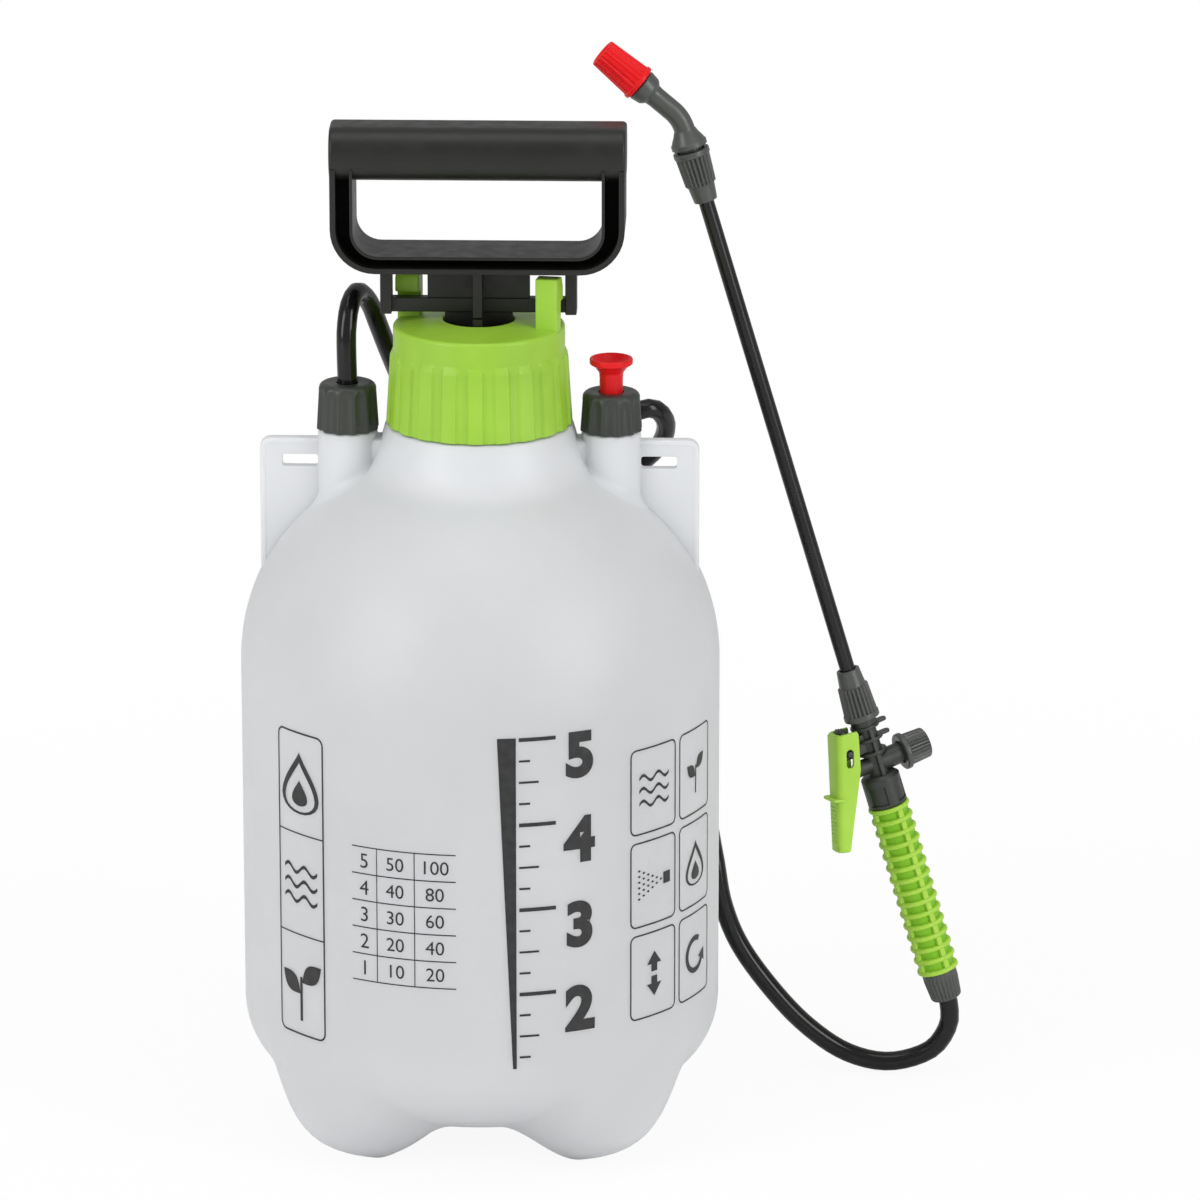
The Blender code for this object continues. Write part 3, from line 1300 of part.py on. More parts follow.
def build_lance():
    bore = LANCE_RADIUS + SLIDE_CLEARANCE
    upper_start = ELBOW_START - GAP - 0.0010
    middle = LANCE_RADIUS + GAP
    outer = SPIGOT_THREAD_RADIUS
    for name, start, sign, end in (
        ("lower_lance_nut", LOWER_NUT_START, 1, LANCE_SPIGOT_TOP),
        ("upper_lance_nut", upper_start, -1, upper_start - 0.0098),
    ):
        nut = turned(name, lance_nut_profile(start, bore, sign), LANCE, CHARCOAL, steps=18)
        near, far = start + sign * (NUT_RIM + 0.0010), start + sign * (NUT_RIM + NUT_BODY + 0.003)
        ends = [(NUT_RIM_RADIUS - 0.0005, near), (NUT_BODY_RADIUS, far)]
        knurled(nut, f"{name}_knurl", max(ends, key=lambda p: p[1]), min(ends, key=lambda p: p[1]), LANCE)
        low, high = sorted((end + sign * GAP, end + sign * (GAP + FERRULE)))
        ring = [(middle, high), (outer, high), (outer, low), (middle, low)]
        turned(f"{name.split('_')[0]}_ferrule", ring, LANCE, RUBBER)
    top = ELBOW_START - 0.0065
    wall = LANCE_RADIUS - LANCE_WALL
    pipe = [(wall, top), (LANCE_RADIUS, top), (LANCE_RADIUS, LANCE_START), (wall, LANCE_START)]
    turned("lance_tube", pipe, LANCE, BLACK, steps=COARSE)


def elbow_path(start, end):
    """The elbow's centre line: up the lance, round the bend and out to the nozzle."""
    bend = ELBOW_START + ELBOW_RISE
    tangent = ELBOW_BEND_RADIUS * math.tan(ELBOW_BEND / 2)
    points = [(0, 0, start)]
    for i in range(7):
        angle = ELBOW_BEND * i / 6
        x = -ELBOW_BEND_RADIUS * (1 - math.cos(angle))
        points.append((x, 0, bend - tangent + ELBOW_BEND_RADIUS * math.sin(angle)))
    points.append((-end * math.sin(ELBOW_BEND), 0, bend + end * math.cos(ELBOW_BEND)))
    return points


def build_elbow():
    spigot_low = ELBOW_START - 0.0106
    socket = LANCE_RADIUS + GAP
    tube_end = ELBOW_START - 0.0065 + GAP
    flange = ELBOW_START + ELBOW_FLANGE
    profile = [
        (0, flange + 0.0042),
        (ELBOW_PIPE_RADIUS, flange + 0.0042),
        (ELBOW_PIPE_RADIUS + 0.0008, flange + 0.0026),
        (ELBOW_FLANGE_RADIUS - 0.0006, flange),
        (ELBOW_FLANGE_RADIUS, flange - 0.0005),
        (ELBOW_FLANGE_RADIUS, ELBOW_START),
        (SPIGOT_THREAD_RADIUS, ELBOW_START),
        (SPIGOT_THREAD_RADIUS, spigot_low),
        (socket, spigot_low),
        (socket, tube_end),
        (0, tube_end),
    ]
    elbow = turned("elbow", profile, ELBOW, CHARCOAL, steps=16, ring=False)
    path = elbow_path(flange, ELBOW_REACH - 0.002)
    pipe = as_mesh(tube("elbow_pipe", path, ELBOW_PIPE_RADIUS, ELBOW, None, 2))
    at = (0, 0, ELBOW_START + ELBOW_RISE)
    turn = (0, -ELBOW_BEND, 0)
    end = ELBOW_REACH - GAP
    spigot_end = ELBOW_REACH + ELBOW_SPIGOT
    flare = [
        (0, spigot_end),
        (ELBOW_SPIGOT_RADIUS, spigot_end),
        (ELBOW_SPIGOT_RADIUS, end),
        (ELBOW_FLARE_RADIUS, end),
        (ELBOW_FLARE_RADIUS, end - 0.0014),
        (ELBOW_PIPE_RADIUS, end - 0.0062),
        (0, end - 0.0062),
    ]
    mouth = turned("elbow_flare", flare, ELBOW, None, at, turn, 16, ring=False)
    join(elbow, pipe, mouth)
    path = elbow_path(tube_end - 0.002, spigot_end + 0.004)
    inner = as_mesh(tube("elbow_bore", path, ELBOW_BORE, ELBOW, None, 1))
    core_room = 0.0050
    wide, far = ELBOW_SPIGOT_RADIUS - 0.0014, spigot_end + 0.004
    room = rod("core_room", wide, spigot_end - core_room, far, ELBOW, at, turn, 16)
    groove_middle = ELBOW_REACH + 0.0030
    seal = 0.0011
    outer = ELBOW_SPIGOT_RADIUS + 0.002
    low, high = groove_middle - seal, groove_middle + seal
    sunk = ELBOW_SPIGOT_RADIUS - seal
    shell = [(sunk, high), (outer, high), (outer, low), (sunk, low)]
    cut(elbow, inner, room, turned("seal_groove", shell, ELBOW, None, at, turn, 16))
    ring_radius = (ELBOW_SPIGOT_RADIUS - seal + GAP + ELBOW_SPIGOT_RADIUS + 0.0002) / 2
    thick = ELBOW_SPIGOT_RADIUS + 0.0002 - ring_radius
    ring = [
        (ring_radius + thick * math.sin(math.pi * i / 4), groove_middle + thick * math.cos(math.pi * i / 4))
        for i in range(8)
    ]
    turned("nozzle_seal", ring, ELBOW, RUBBER, at, turn, COARSE)
    core_radius = ELBOW_SPIGOT_RADIUS - 0.0014 - GAP
    core_low = spigot_end - core_room + GAP
    core = [
        (0, spigot_end + 0.0010), (core_radius * 0.5, spigot_end + 0.0010), (core_radius, spigot_end),
        (core_radius, core_low), (0, core_low),
    ]
    swirl = turned("swirl_core", core, ELBOW, BLACK, at, turn, COARSE, ring=False)
    for i in range(2):
        low_x = core_radius * 0.6
        corners = (low_x, -0.0005, core_low - 0.001), (core_radius * 1.5, 0.0005, spigot_end + 0.002)
        slot = block(f"swirl_slot_{i}", *corners, ELBOW, None, at)
        spin = Matrix.Rotation(-ELBOW_BEND, 4, "Y") @ Matrix.Rotation(math.pi * i, 4, "Z")
        slot.rotation_euler = spin.to_euler()
        cut(swirl, slot)
    build_nozzle(spigot_end)


def build_nozzle(spigot_end):
    start = ELBOW_REACH
    end = start + NOZZLE_LENGTH
    bore = ELBOW_SPIGOT_RADIUS + SLIDE_CLEARANCE + 0.0001
    plate = spigot_end + 0.0014
    dish = end - NOZZLE_DISH
    profile = [
        (NOZZLE_ORIFICE, dish),
        (NOZZLE_TIP_RADIUS - 0.0026, dish),
        (NOZZLE_TIP_RADIUS - 0.0014, end),
        (NOZZLE_TIP_RADIUS - 0.0006, end),
        (NOZZLE_TIP_RADIUS, end - 0.0006),
        (NOZZLE_BASE_RADIUS, start + NOZZLE_LIP + 0.0004),
        (NOZZLE_LIP_RADIUS, start + NOZZLE_LIP),
        (NOZZLE_LIP_RADIUS, start),
        (bore, start),
        (bore, plate),
        (NOZZLE_ORIFICE, plate),
    ]
    at = (0, 0, ELBOW_START + ELBOW_RISE)
    turn = (0, -ELBOW_BEND, 0)
    nozzle = turned("nozzle_tip", profile, ELBOW, RED, at, turn, 24)
    high = (NOZZLE_TIP_RADIUS + 0.0003, end + 0.003)
    low = (NOZZLE_BASE_RADIUS + 0.0003, start + NOZZLE_LIP + 0.0016)
    knurled(nozzle, "nozzle_ribs", high, low, ELBOW, at, turn, NOZZLE_RIBS, 0.0006)


# Hose

def build_hose():
    axis = Vector((-math.sin(LANCE_TILT), 0, math.cos(LANCE_TILT)))
    base = Vector((LANCE_X, LANCE_Y, LANCE_Z))
    end = GRIP_TUBE_END - GAP
    last = [tuple(base + axis * s) for s in (HOSE_NUT_BOTTOM - 0.004, HOSE_NUT_BOTTOM, end)]
    first = [(-SIDE_NECK_OFFSET, 0, HOSE_START), (-SIDE_NECK_OFFSET, 0, HOSE_START + 0.004)]
    points, length = smooth_route([*first, *HOSE_ROUTE, *last], HOSE_STEP)
    # Both ends run straight and square to what they meet.
    points[-2] = Vector(last[-1]) - axis * 2 * HOSE_RADIUS
    points[1] = Vector((first[0][0], 0, HOSE_START + 2 * HOSE_RADIUS))
    tube("hose", points, HOSE_RADIUS, ROOT, HOSE_BLACK, 2)
    print(f"hose: {length:.3f} m long, {len(points)} points")


clear_scene()
PARTS = new_collection("pump_sprayer")
CUTTERS = new_collection("cutters")
WHITE = finish("milky tank", (0.70, 0.72, 0.74), 0.35)
CLEAR = finish("clear tube", (0.80, 0.82, 0.82), 0.25)
GREEN = finish("lime plastic", (0.33, 0.58, 0.06), 0.40)
CHARCOAL = finish("charcoal plastic", (0.045, 0.048, 0.042), 0.50)
BLACK = finish("black plastic", (0.015, 0.015, 0.015), 0.40)
HOSE_BLACK = finish("black hose", (0.010, 0.010, 0.010), 0.30)
RED = finish("red plastic", (0.65, 0.015, 0.020), 0.40)
RUBBER = finish("rubber", (0.020, 0.020, 0.020), 0.80)
STEEL = finish_metal("steel", (0.60, 0.60, 0.62), 0.30)
BRASS = finish_metal("brass", (0.70, 0.50, 0.22), 0.35)
ROOT = empty("sprayer", None, (-TANK_OFFSET, 0, 0))
PUMP = empty("pump_axis", ROOT)
PISTON = empty("piston_axis", PUMP)
HANDLE = empty("handle_axis", PISTON)
LANCE = empty("lance_axis", ROOT, (LANCE_X, LANCE_Y, LANCE_Z), (0, -LANCE_TILT, 0))
VALVE = empty("valve_axis", LANCE, turn=(0, 0, VALVE_TURN))
STEM = empty("stem_axis", VALVE)
TRIGGER = empty("trigger_axis", VALVE, (PIN_X, 0, PIN_HEIGHT), (0, TRIGGER_LEAN, 0))
ELBOW = empty("elbow_axis", LANCE)

build_tank()
build_outlet()
build_relief()
build_cap()
build_barrel()
build_piston()
build_handle()
build_grip()
build_valve()
build_trigger()
build_lance()
build_elbow()
build_hose()
bpy.context.view_layer.update()
for name, axis in (("lance", LANCE), ("valve", VALVE), ("trigger", TRIGGER)):
    place = axis.matrix_world
    axes = [[round(v, 5) for v in place.col[i][:3]] for i in range(3)]
    print(name, [round(v, 5) for v in place.translation], axes)
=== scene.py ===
import json
import math

import bmesh
import bpy
from mathutils import Matrix, Vector


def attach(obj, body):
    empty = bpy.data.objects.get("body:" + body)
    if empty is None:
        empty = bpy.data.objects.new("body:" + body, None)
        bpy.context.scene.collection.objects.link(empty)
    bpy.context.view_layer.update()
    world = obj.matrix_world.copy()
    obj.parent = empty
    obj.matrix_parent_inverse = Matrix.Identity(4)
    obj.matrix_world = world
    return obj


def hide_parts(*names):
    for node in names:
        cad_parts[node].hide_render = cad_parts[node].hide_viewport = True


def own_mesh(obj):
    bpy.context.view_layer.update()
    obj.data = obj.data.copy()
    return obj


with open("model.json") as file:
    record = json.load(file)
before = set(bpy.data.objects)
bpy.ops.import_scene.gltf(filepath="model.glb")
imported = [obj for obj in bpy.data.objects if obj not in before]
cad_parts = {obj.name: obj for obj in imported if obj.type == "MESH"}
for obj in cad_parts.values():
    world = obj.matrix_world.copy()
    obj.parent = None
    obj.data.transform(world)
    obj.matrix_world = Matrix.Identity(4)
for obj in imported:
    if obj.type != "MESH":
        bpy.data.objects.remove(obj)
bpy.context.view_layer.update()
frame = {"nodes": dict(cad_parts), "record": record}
nodes = frame["nodes"]
print("frame loaded:", len(nodes), "nodes")


# where the pieces sit
def shift(x=0.0, y=0.0, z=0.0):
    return Matrix.Translation((x, y, z))


def turn(degrees, axis):
    return Matrix.Rotation(math.radians(degrees), 4, axis)


tankX = -0.05041
lanceAt = {"base": (0.1615 + tankX, 0.062, 0.135), "tilt": 16.62, "valveTurn": 24.0, "crossHeight": 0.001}
onTank = shift(tankX)
onLance = shift(*lanceAt["base"]) @ turn(-lanceAt["tilt"], "Y")
onValve = onLance @ turn(lanceAt["valveTurn"], "Z")
onCross = onValve @ shift(z=lanceAt["crossHeight"]) @ turn(90, "Y")


# finishes
def setInputs(node, values):
    for name, value in values.items():
        node.inputs[name].default_value = value


def addNode(tree, kind, values=None, **settings):
    node = tree.nodes.new("ShaderNode" + kind)
    for name, value in settings.items():
        setattr(node, name, value)
    setInputs(node, values or {})
    return node


def join(tree, *rows):
    # each row is a node, its output, the next node and its socket
    for source, output, target, socket in rows:
        tree.links.new(source.outputs[output], target.inputs[socket])


def noiseNode(tree, coords, scale, detail):
    noise = addNode(tree, "TexNoise", {"Scale": scale, "Detail": detail})
    join(tree, (coords, "Object", noise, "Vector"))
    return noise


def mouldedFinish(name, look):
    made = bpy.data.materials.new(name)
    made.use_nodes = True
    tree = made.node_tree
    shader = tree.nodes["Principled BSDF"]
    coords = addNode(tree, "TexCoord")
    # soft patches of colour, as pigment and wall thickness vary
    patches = noiseNode(tree, coords, look.get("patchScale", 45), 4)
    ramp = addNode(tree, "ValToRGB")
    for stop, at, colour in zip(ramp.color_ramp.elements, (0.32, 0.68), (look["deep"], look["light"])):
        stop.position = at
        stop.color = (*colour, 1)
    join(tree, (patches, "Fac", ramp, "Fac"), (ramp, "Color", shader, "Base Color"))
    # rub marks change the gloss a little
    rubs = noiseNode(tree, coords, 160, 6)
    vary = look.get("roughSpread", 0.06)
    gloss = {"From Min": 0.3, "From Max": 0.7, "To Min": look["rough"] - vary, "To Max": look["rough"] + vary}
    spread = addNode(tree, "MapRange", gloss)
    join(tree, (rubs, "Fac", spread, "Value"), (spread, "Result", shader, "Roughness"))
    # fine moulded grain
    grain = noiseNode(tree, coords, look.get("grainScale", 2600), 2)
    bump = addNode(tree, "Bump", {"Strength": look["grain"], "Distance": 0.0002})
    join(tree, (grain, "Fac", bump, "Height"), (bump, "Normal", shader, "Normal"))
    setInputs(shader, {"Metallic": look.get("metal", 0.0), "Specular IOR Level": look.get("specular", 0.5)})
    if "subsurface" in look:
        setInputs(shader, {"Subsurface Weight": look["subsurface"], "Subsurface Radius": (1.0, 1.0, 1.0),
                           "Subsurface Scale": look["scatter"]})
    return made


looks = {
    "tank": {"deep": (0.635, 0.65, 0.672), "light": (0.68, 0.694, 0.712), "rough": 0.46, "patchScale": 14,
             "grain": 0.05, "grainScale": 900, "subsurface": 0.5, "scatter": 0.016},
    "green": {"deep": (0.288, 0.522, 0.036), "light": (0.33, 0.58, 0.05), "rough": 0.4, "grain": 0.05,
              "specular": 0.4, "subsurface": 0.12, "scatter": 0.003},
    "charcoal": {"deep": (0.005, 0.0055, 0.004), "light": (0.009, 0.0095, 0.007), "rough": 0.42,
                 "grain": 0.12, "specular": 0.45},
    "lime": {"deep": (0.365, 0.64, 0.05), "light": (0.415, 0.7, 0.068), "rough": 0.42, "grain": 0.05,
             "specular": 0.4, "subsurface": 0.15, "scatter": 0.003},
    "leaf": {"deep": (0.215, 0.52, 0.012), "light": (0.25, 0.575, 0.02), "rough": 0.45, "grain": 0.05,
             "specular": 0.3},
    # painted shade: a near-black matte charcoal that stands in for the shade deep in the handle's channels
    "paintedShade": {"deep": (0.0015, 0.0015, 0.0012), "light": (0.003, 0.003, 0.0025), "rough": 0.7, "grain": 0.1,
               "specular": 0.12},
    "fitting": {"deep": (0.054, 0.059, 0.053), "light": (0.07, 0.075, 0.067), "rough": 0.36, "grain": 0.1,
                "specular": 0.6},
    "nut": {"deep": (0.024, 0.028, 0.023), "light": (0.036, 0.04, 0.033), "rough": 0.42, "grain": 0.14},
    "black": {"deep": (0.004, 0.004, 0.004), "light": (0.009, 0.009, 0.009), "rough": 0.24, "grain": 0.04,
              "specular": 0.38},
    "hose": {"deep": (0.004, 0.004, 0.004), "light": (0.008, 0.008, 0.008), "rough": 0.16,
             "roughSpread": 0.04, "grain": 0.03, "grainScale": 700, "specular": 0.34},
    "red": {"deep": (0.68, 0.007, 0.01), "light": (0.78, 0.012, 0.015), "rough": 0.36, "grain": 0.05,
            "specular": 0.22, "subsurface": 0.08, "scatter": 0.002},
    "rubber": {"deep": (0.014, 0.014, 0.014), "light": (0.026, 0.026, 0.026), "rough": 0.75, "grain": 0.2},
    "steel": {"deep": (0.5, 0.5, 0.52), "light": (0.66, 0.66, 0.68), "rough": 0.28, "metal": 1.0,
              "grain": 0.04},
    "brass": {"deep": (0.62, 0.42, 0.16), "light": (0.74, 0.54, 0.25), "rough": 0.32, "metal": 1.0,
              "grain": 0.04},
    "clear_tube": {"deep": (0.74, 0.76, 0.75), "light": (0.84, 0.86, 0.85), "rough": 0.22, "grain": 0.03,
                   "subsurface": 0.3, "scatter": 0.004},
    "print": {"deep": (0.01, 0.01, 0.011), "light": (0.022, 0.022, 0.023), "rough": 0.48, "patchScale": 300,
              "grain": 0.1},
}
# looks that share a slot of the record
finish = {name: mouldedFinish(name, look) for name, look in looks.items()}
for entry in frame["record"]["subparts"]:
    node = nodes[entry["node"]]
    node.data.materials.clear()
    node.data.materials.append(finish[entry["material_slot"]])
print("finishes made:", len(finish))


# mesh tools
def mix(a, b, t):
    return a + (b - a) * t


def curvePoint(points, t):
    while len(points) > 1:
        points = [tuple(mix(p, q, t) for p, q in zip(a, b)) for a, b in zip(points, points[1:])]
    return points[0]


def around(count, offset=0):
    return [2 * math.pi * (k + offset) / count for k in range(count)]


def softCorners(corners, steps=5):
    # corners are (x, y, radius), and each radius becomes an arc
    points = []
    for i, (x, y, radius) in enumerate(corners):
        here = Vector((x, y))
        if radius == 0:
            points.append((x, y))
            continue
        before = (Vector(corners[i - 1][:2]) - here).normalized()
        after = (Vector(corners[(i + 1) % len(corners)][:2]) - here).normalized()
        half = before.angle(after) / 2
        centre = here + (before + after).normalized() * (radius / math.sin(half))
        first = here + before * (radius / math.tan(half)) - centre
        last = here + after * (radius / math.tan(half)) - centre
        start = math.atan2(first.y, first.x)
        arc = math.remainder(math.atan2(last.y, last.x) - start, 2 * math.pi)
        for k in range(steps + 1):
            angle = start + arc * k / steps
            points.append((centre.x + radius * math.cos(angle), centre.y + radius * math.sin(angle)))
    return points


def boxOutline(left, low, right, high, soft=(0, 0), steps=5):
    # soft holds the radii of the left and the right corners
    near, far = soft
    return softCorners([(left, low, near), (right, low, far), (right, high, far), (left, high, near)], steps)


def loft(bm, rings, loop=False):
    rows = [[bm.verts.new(p) for p in ring] for ring in rings]
    if loop:
        rows.append(rows[0])
    else:
        bm.faces.new(rows[0])
        bm.faces.new(rows[-1])
    for upper, lower in zip(rows, rows[1:]):
        for i in range(len(upper)):
            j = (i + 1) % len(upper)
            bm.faces.new((upper[i], lower[i], lower[j], upper[j]))


def spin(bm, profile, steps=64, shape=None, place=Matrix(), loop=True):
    # shape bends the radius: it takes an angle, a radius and a height
    rings = []
    for radius, height in profile:
        ring = []
        for angle in around(steps):
            r = shape(angle, radius, height) if shape else radius
            ring.append(place @ Vector((r * math.cos(angle), r * math.sin(angle), height)))
        rings.append(ring)
    loft(bm, rings, loop)


def addMesh(bm, other):
    mesh = bpy.data.meshes.new("spare")
    other.to_mesh(mesh)
    other.free()
    bm.from_mesh(mesh)
    bpy.data.meshes.remove(mesh)


def outlineEdges(bm, loops, y=0.0):
    edges = []
    for loop in loops:
        points = [bm.verts.new((x, y, z)) for x, z in loop]
        edges += [bm.edges.new((points[i - 1], points[i])) for i in range(len(points))]
    return edges


def plate(bm, outline, depth, place=Matrix(), soft=0.0, holes=(), segments=2):
    # an outline in X and Z with holes, as thick as depth along Y and centred on it
    made = bmesh.new()
    edges = outlineEdges(made, (outline, *holes), -depth / 2)
    if holes:
        bmesh.ops.triangle_fill(made, use_beauty=True, use_dissolve=True, edges=edges)
    else:
        made.faces.new(list(made.verts))
    pulled = bmesh.ops.extrude_face_region(made, geom=list(made.faces))["geom"]
    pulled = [v for v in pulled if isinstance(v, bmesh.types.BMVert)]
    bmesh.ops.translate(made, verts=pulled, vec=(0, depth, 0))
    bmesh.ops.recalc_face_normals(made, faces=made.faces)
    if soft:
        sharp = [e for e in made.edges if len(e.link_faces) == 2 and e.calc_face_angle(0) > 0.6]
        bmesh.ops.bevel(made, geom=sharp, offset=soft, segments=segments, affect="EDGES", profile=0.5,
                        clamp_overlap=True)
    made.transform(place)
    addMesh(bm, made)


def brick(bm, low, high, place=Matrix(), soft=0.0):
    outline = boxOutline(low[0], low[2], high[0], high[2])
    plate(bm, outline, high[1] - low[1], place @ shift(y=(low[1] + high[1]) / 2), soft)


def sweep(bm, path, radii, sides=24):
    points = [Vector(p) for p in path]
    rings = []
    side = None
    for i, p in enumerate(points):
        along = (points[min(i + 1, len(points) - 1)] - points[max(i - 1, 0)]).normalized()
        side = along.orthogonal() if side is None else side - along * side.dot(along)
        side.normalize()
        other = along.cross(side)
        rings.append([p + (side * math.cos(a) + other * math.sin(a)) * radii[i] for a in around(sides)])
    loft(bm, rings)


def combine(bm, other, operation):
    # joins the other solid to the mesh so far, or takes it away
    made = []
    for part in (bm, other):
        bmesh.ops.recalc_face_normals(part, faces=part.faces)
        mesh = bpy.data.meshes.new("spare")
        part.to_mesh(mesh)
        part.free()
        made.append(bpy.data.objects.new("spare", mesh))
        bpy.context.scene.collection.objects.link(made[-1])
    cutting = made[0].modifiers.new("cut", "BOOLEAN")
    cutting.operation = operation
    cutting.object = made[1]
    bpy.context.view_layer.update()
    done = bpy.data.meshes.new_from_object(made[0].evaluated_get(bpy.context.evaluated_depsgraph_get()))
    result = bmesh.new()
    result.from_mesh(done)
    for obj in made:
        bpy.data.objects.remove(obj, do_unlink=True)
    return result


def setPiece(name, bm, place, look, body, stands=(), sharp=38, second=None):
    # second is the look of the faces whose material index is 1
    bm.transform(place)
    bmesh.ops.recalc_face_normals(bm, faces=bm.faces)
    mesh = bpy.data.meshes.new(name)
    bm.to_mesh(mesh)
    bm.free()
    for used in (look, second) if second else (look,):
        mesh.materials.append(finish[used])
    mesh.shade_smooth()
    mesh.set_sharp_from_angle(angle=math.radians(sharp))
    piece = bpy.data.objects.new(name, mesh)
    bpy.context.scene.collection.objects.link(piece)
    flats = piece.modifiers.new("flats", "WEIGHTED_NORMAL")
    flats.keep_sharp = True
    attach(piece, body)
    if stands:
        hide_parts(*stands)
    return piece


nearAxis = 0.00005  # a solid turned piece starts this far from its axis


def turnedPiece(name, profile, steps, place, look, body, node, shape=None, loop=True):
    bm = bmesh.new()
    spin(bm, profile, steps, shape, loop=loop)
    setPiece(name, bm, place, look, body, [node])


def grooved(count, depth, low, high, least, width=0.3, turnBy=0.0):
    # grooves between two heights, on what lies outside the least radius
    pitch = 2 * math.pi / count

    def shape(angle, r, z):
        if r < least or z < low or z > high:
            return r
        return r - depth * max(0.0, 1 - (math.remainder(angle - turnBy, pitch) / (pitch * width)) ** 2)

    return shape


# bottle
bottle = {
    "radius": 0.097, "wall": 0.0022, "steps": 160, "shoulder": 0.2, "domeRise": 0.089,
    "neckRadius": 0.0323, "neckTop": 0.322, "bore": 0.0285,
    "collarHeight": 0.298, "collarRadius": 0.038, "seam": 0.0006, "blendEnd": 0.053, "blendPower": 3.5,
    "sideNeckAt": 0.053, "sideNeckRadius": 0.012, "sideNeckTop": 0.295, "flare": 0.004, "flareSunk": 0.0012,
    "spigotRadius": 0.009, "spigotTop": 0.306, "sideNeckSunk": 0.006,
    "knuckle": 0.0576, "rim": 0.0649, "rimHeight": 0.0202, "belly": 0.015,
    "cornerDrop": 0.393, "cornerReach": 0.39, "cornerRise": 0.15,
    "feet": 4, "footOuter": 0.0638, "footInner": 0.0588, "heelDrop": 0.322, "heelReach": 0.97,
    "heelRise": 0.193, "padEnd": 0.56, "footSpread": ((13.0,), (27.0,), (36.0,)), "footEdge": (1.35, 1.8),
}
onRelief = onTank @ shift(bottle["sideNeckAt"])


def neckBlend(radius, inset=0.0):
    # the dome sweeps up into the collar under the cap
    inner, end = bottle["collarRadius"], bottle["blendEnd"]
    if inset or radius >= end:
        return 0.0
    share = (inner / bottle["radius"]) ** 2
    foot = bottle["shoulder"] + bottle["domeRise"] * math.sqrt(1 - share)
    rise = bottle["collarHeight"] - bottle["seam"] - foot
    return rise * min(1.0, (end - radius) / (end - inner)) ** bottle["blendPower"]


def domeHeight(radius, inset=0.0):
    share = radius / (bottle["radius"] - inset)
    height = bottle["shoulder"] + (bottle["domeRise"] - inset) * math.sqrt(max(0.0, 1 - share * share))
    return height + neckBlend(radius, inset)


def bowlPoint(share, inset):
    # the round bottom between the feet
    b = bottle
    wall, high = b["radius"] - inset, b["knuckle"] + inset
    rim, edge, belly = b["rim"] - inset / 2, b["rimHeight"] + inset, b["belly"] + inset
    if share <= 0.5:
        bend = (mix(rim, wall, b["cornerReach"]), mix(edge, high, b["cornerRise"]))
        drop = (wall, mix(edge, high, b["cornerDrop"]))
        return curvePoint([(wall, high), drop, bend, (rim, edge)], 2 * share)
    radius = rim * 2 * (1 - share)
    return radius, belly + (edge - belly) * (radius / rim) ** 2


def footPoint(share, inset):
    # a heel down to the pad, the flat pad, and the way back to the belly
    b = bottle
    wall, high, belly = b["radius"] - inset, b["knuckle"] + inset, b["belly"] + inset
    outer, inner, pad = b["footOuter"] - inset / 2, b["footInner"] + inset / 2, b["padEnd"]
    if share <= 0.5:
        bend = (mix(outer, wall, b["heelReach"]), b["heelRise"] * high + inset)
        return curvePoint([(wall, high), (wall, b["heelDrop"] * high), bend, (outer, inset)], 2 * share)
    if share <= pad:
        return mix(outer, inner, (share - 0.5) / (pad - 0.5)), inset
    back = [(inner, inset), (0.75 * inner, inset), (0.5 * inner, belly), (0, belly)]
    return curvePoint(back, (share - pad) / (1 - pad))


def basePoint(share, angle, inset):
    # four rounded feet, each narrow at the wall and wide at the floor
    pitch = 2 * math.pi / bottle["feet"]
    off = math.degrees(math.remainder(angle - pitch / 2, pitch))
    near = min(1.0, 2 * share)
    spread = curvePoint(bottle["footSpread"], near)[0]
    lobe = max(0.0, 1 - (off / spread) ** 2) ** mix(*bottle["footEdge"], near)
    return tuple(mix(v, f, lobe) for v, f in zip(bowlPoint(share, inset), footPoint(share, inset)))


def bottleRings(inset, topRadius, domeSteps, baseSteps):
    reach = math.acos(topRadius / (bottle["radius"] - inset))
    angles = around(bottle["steps"])
    rows = []
    for i in range(domeSteps + 1):
        t = reach * (1 - i / domeSteps)
        r = (bottle["radius"] - inset) * math.cos(t)
        z = bottle["shoulder"] + (bottle["domeRise"] - inset) * math.sin(t) + neckBlend(r, inset)
        rows.append([(r, z)] * len(angles))
    for share in (*(i / baseSteps for i in range(baseSteps)), 0.995):
        rows.append([basePoint(share, a, inset) for a in angles])
    return [[Vector((r * math.cos(a), r * math.sin(a), z)) for a, (r, z) in zip(angles, row)] for row in rows]


def flatRing(radius, height):
    return [Vector((radius * math.cos(a), radius * math.sin(a), height)) for a in around(bottle["steps"])]


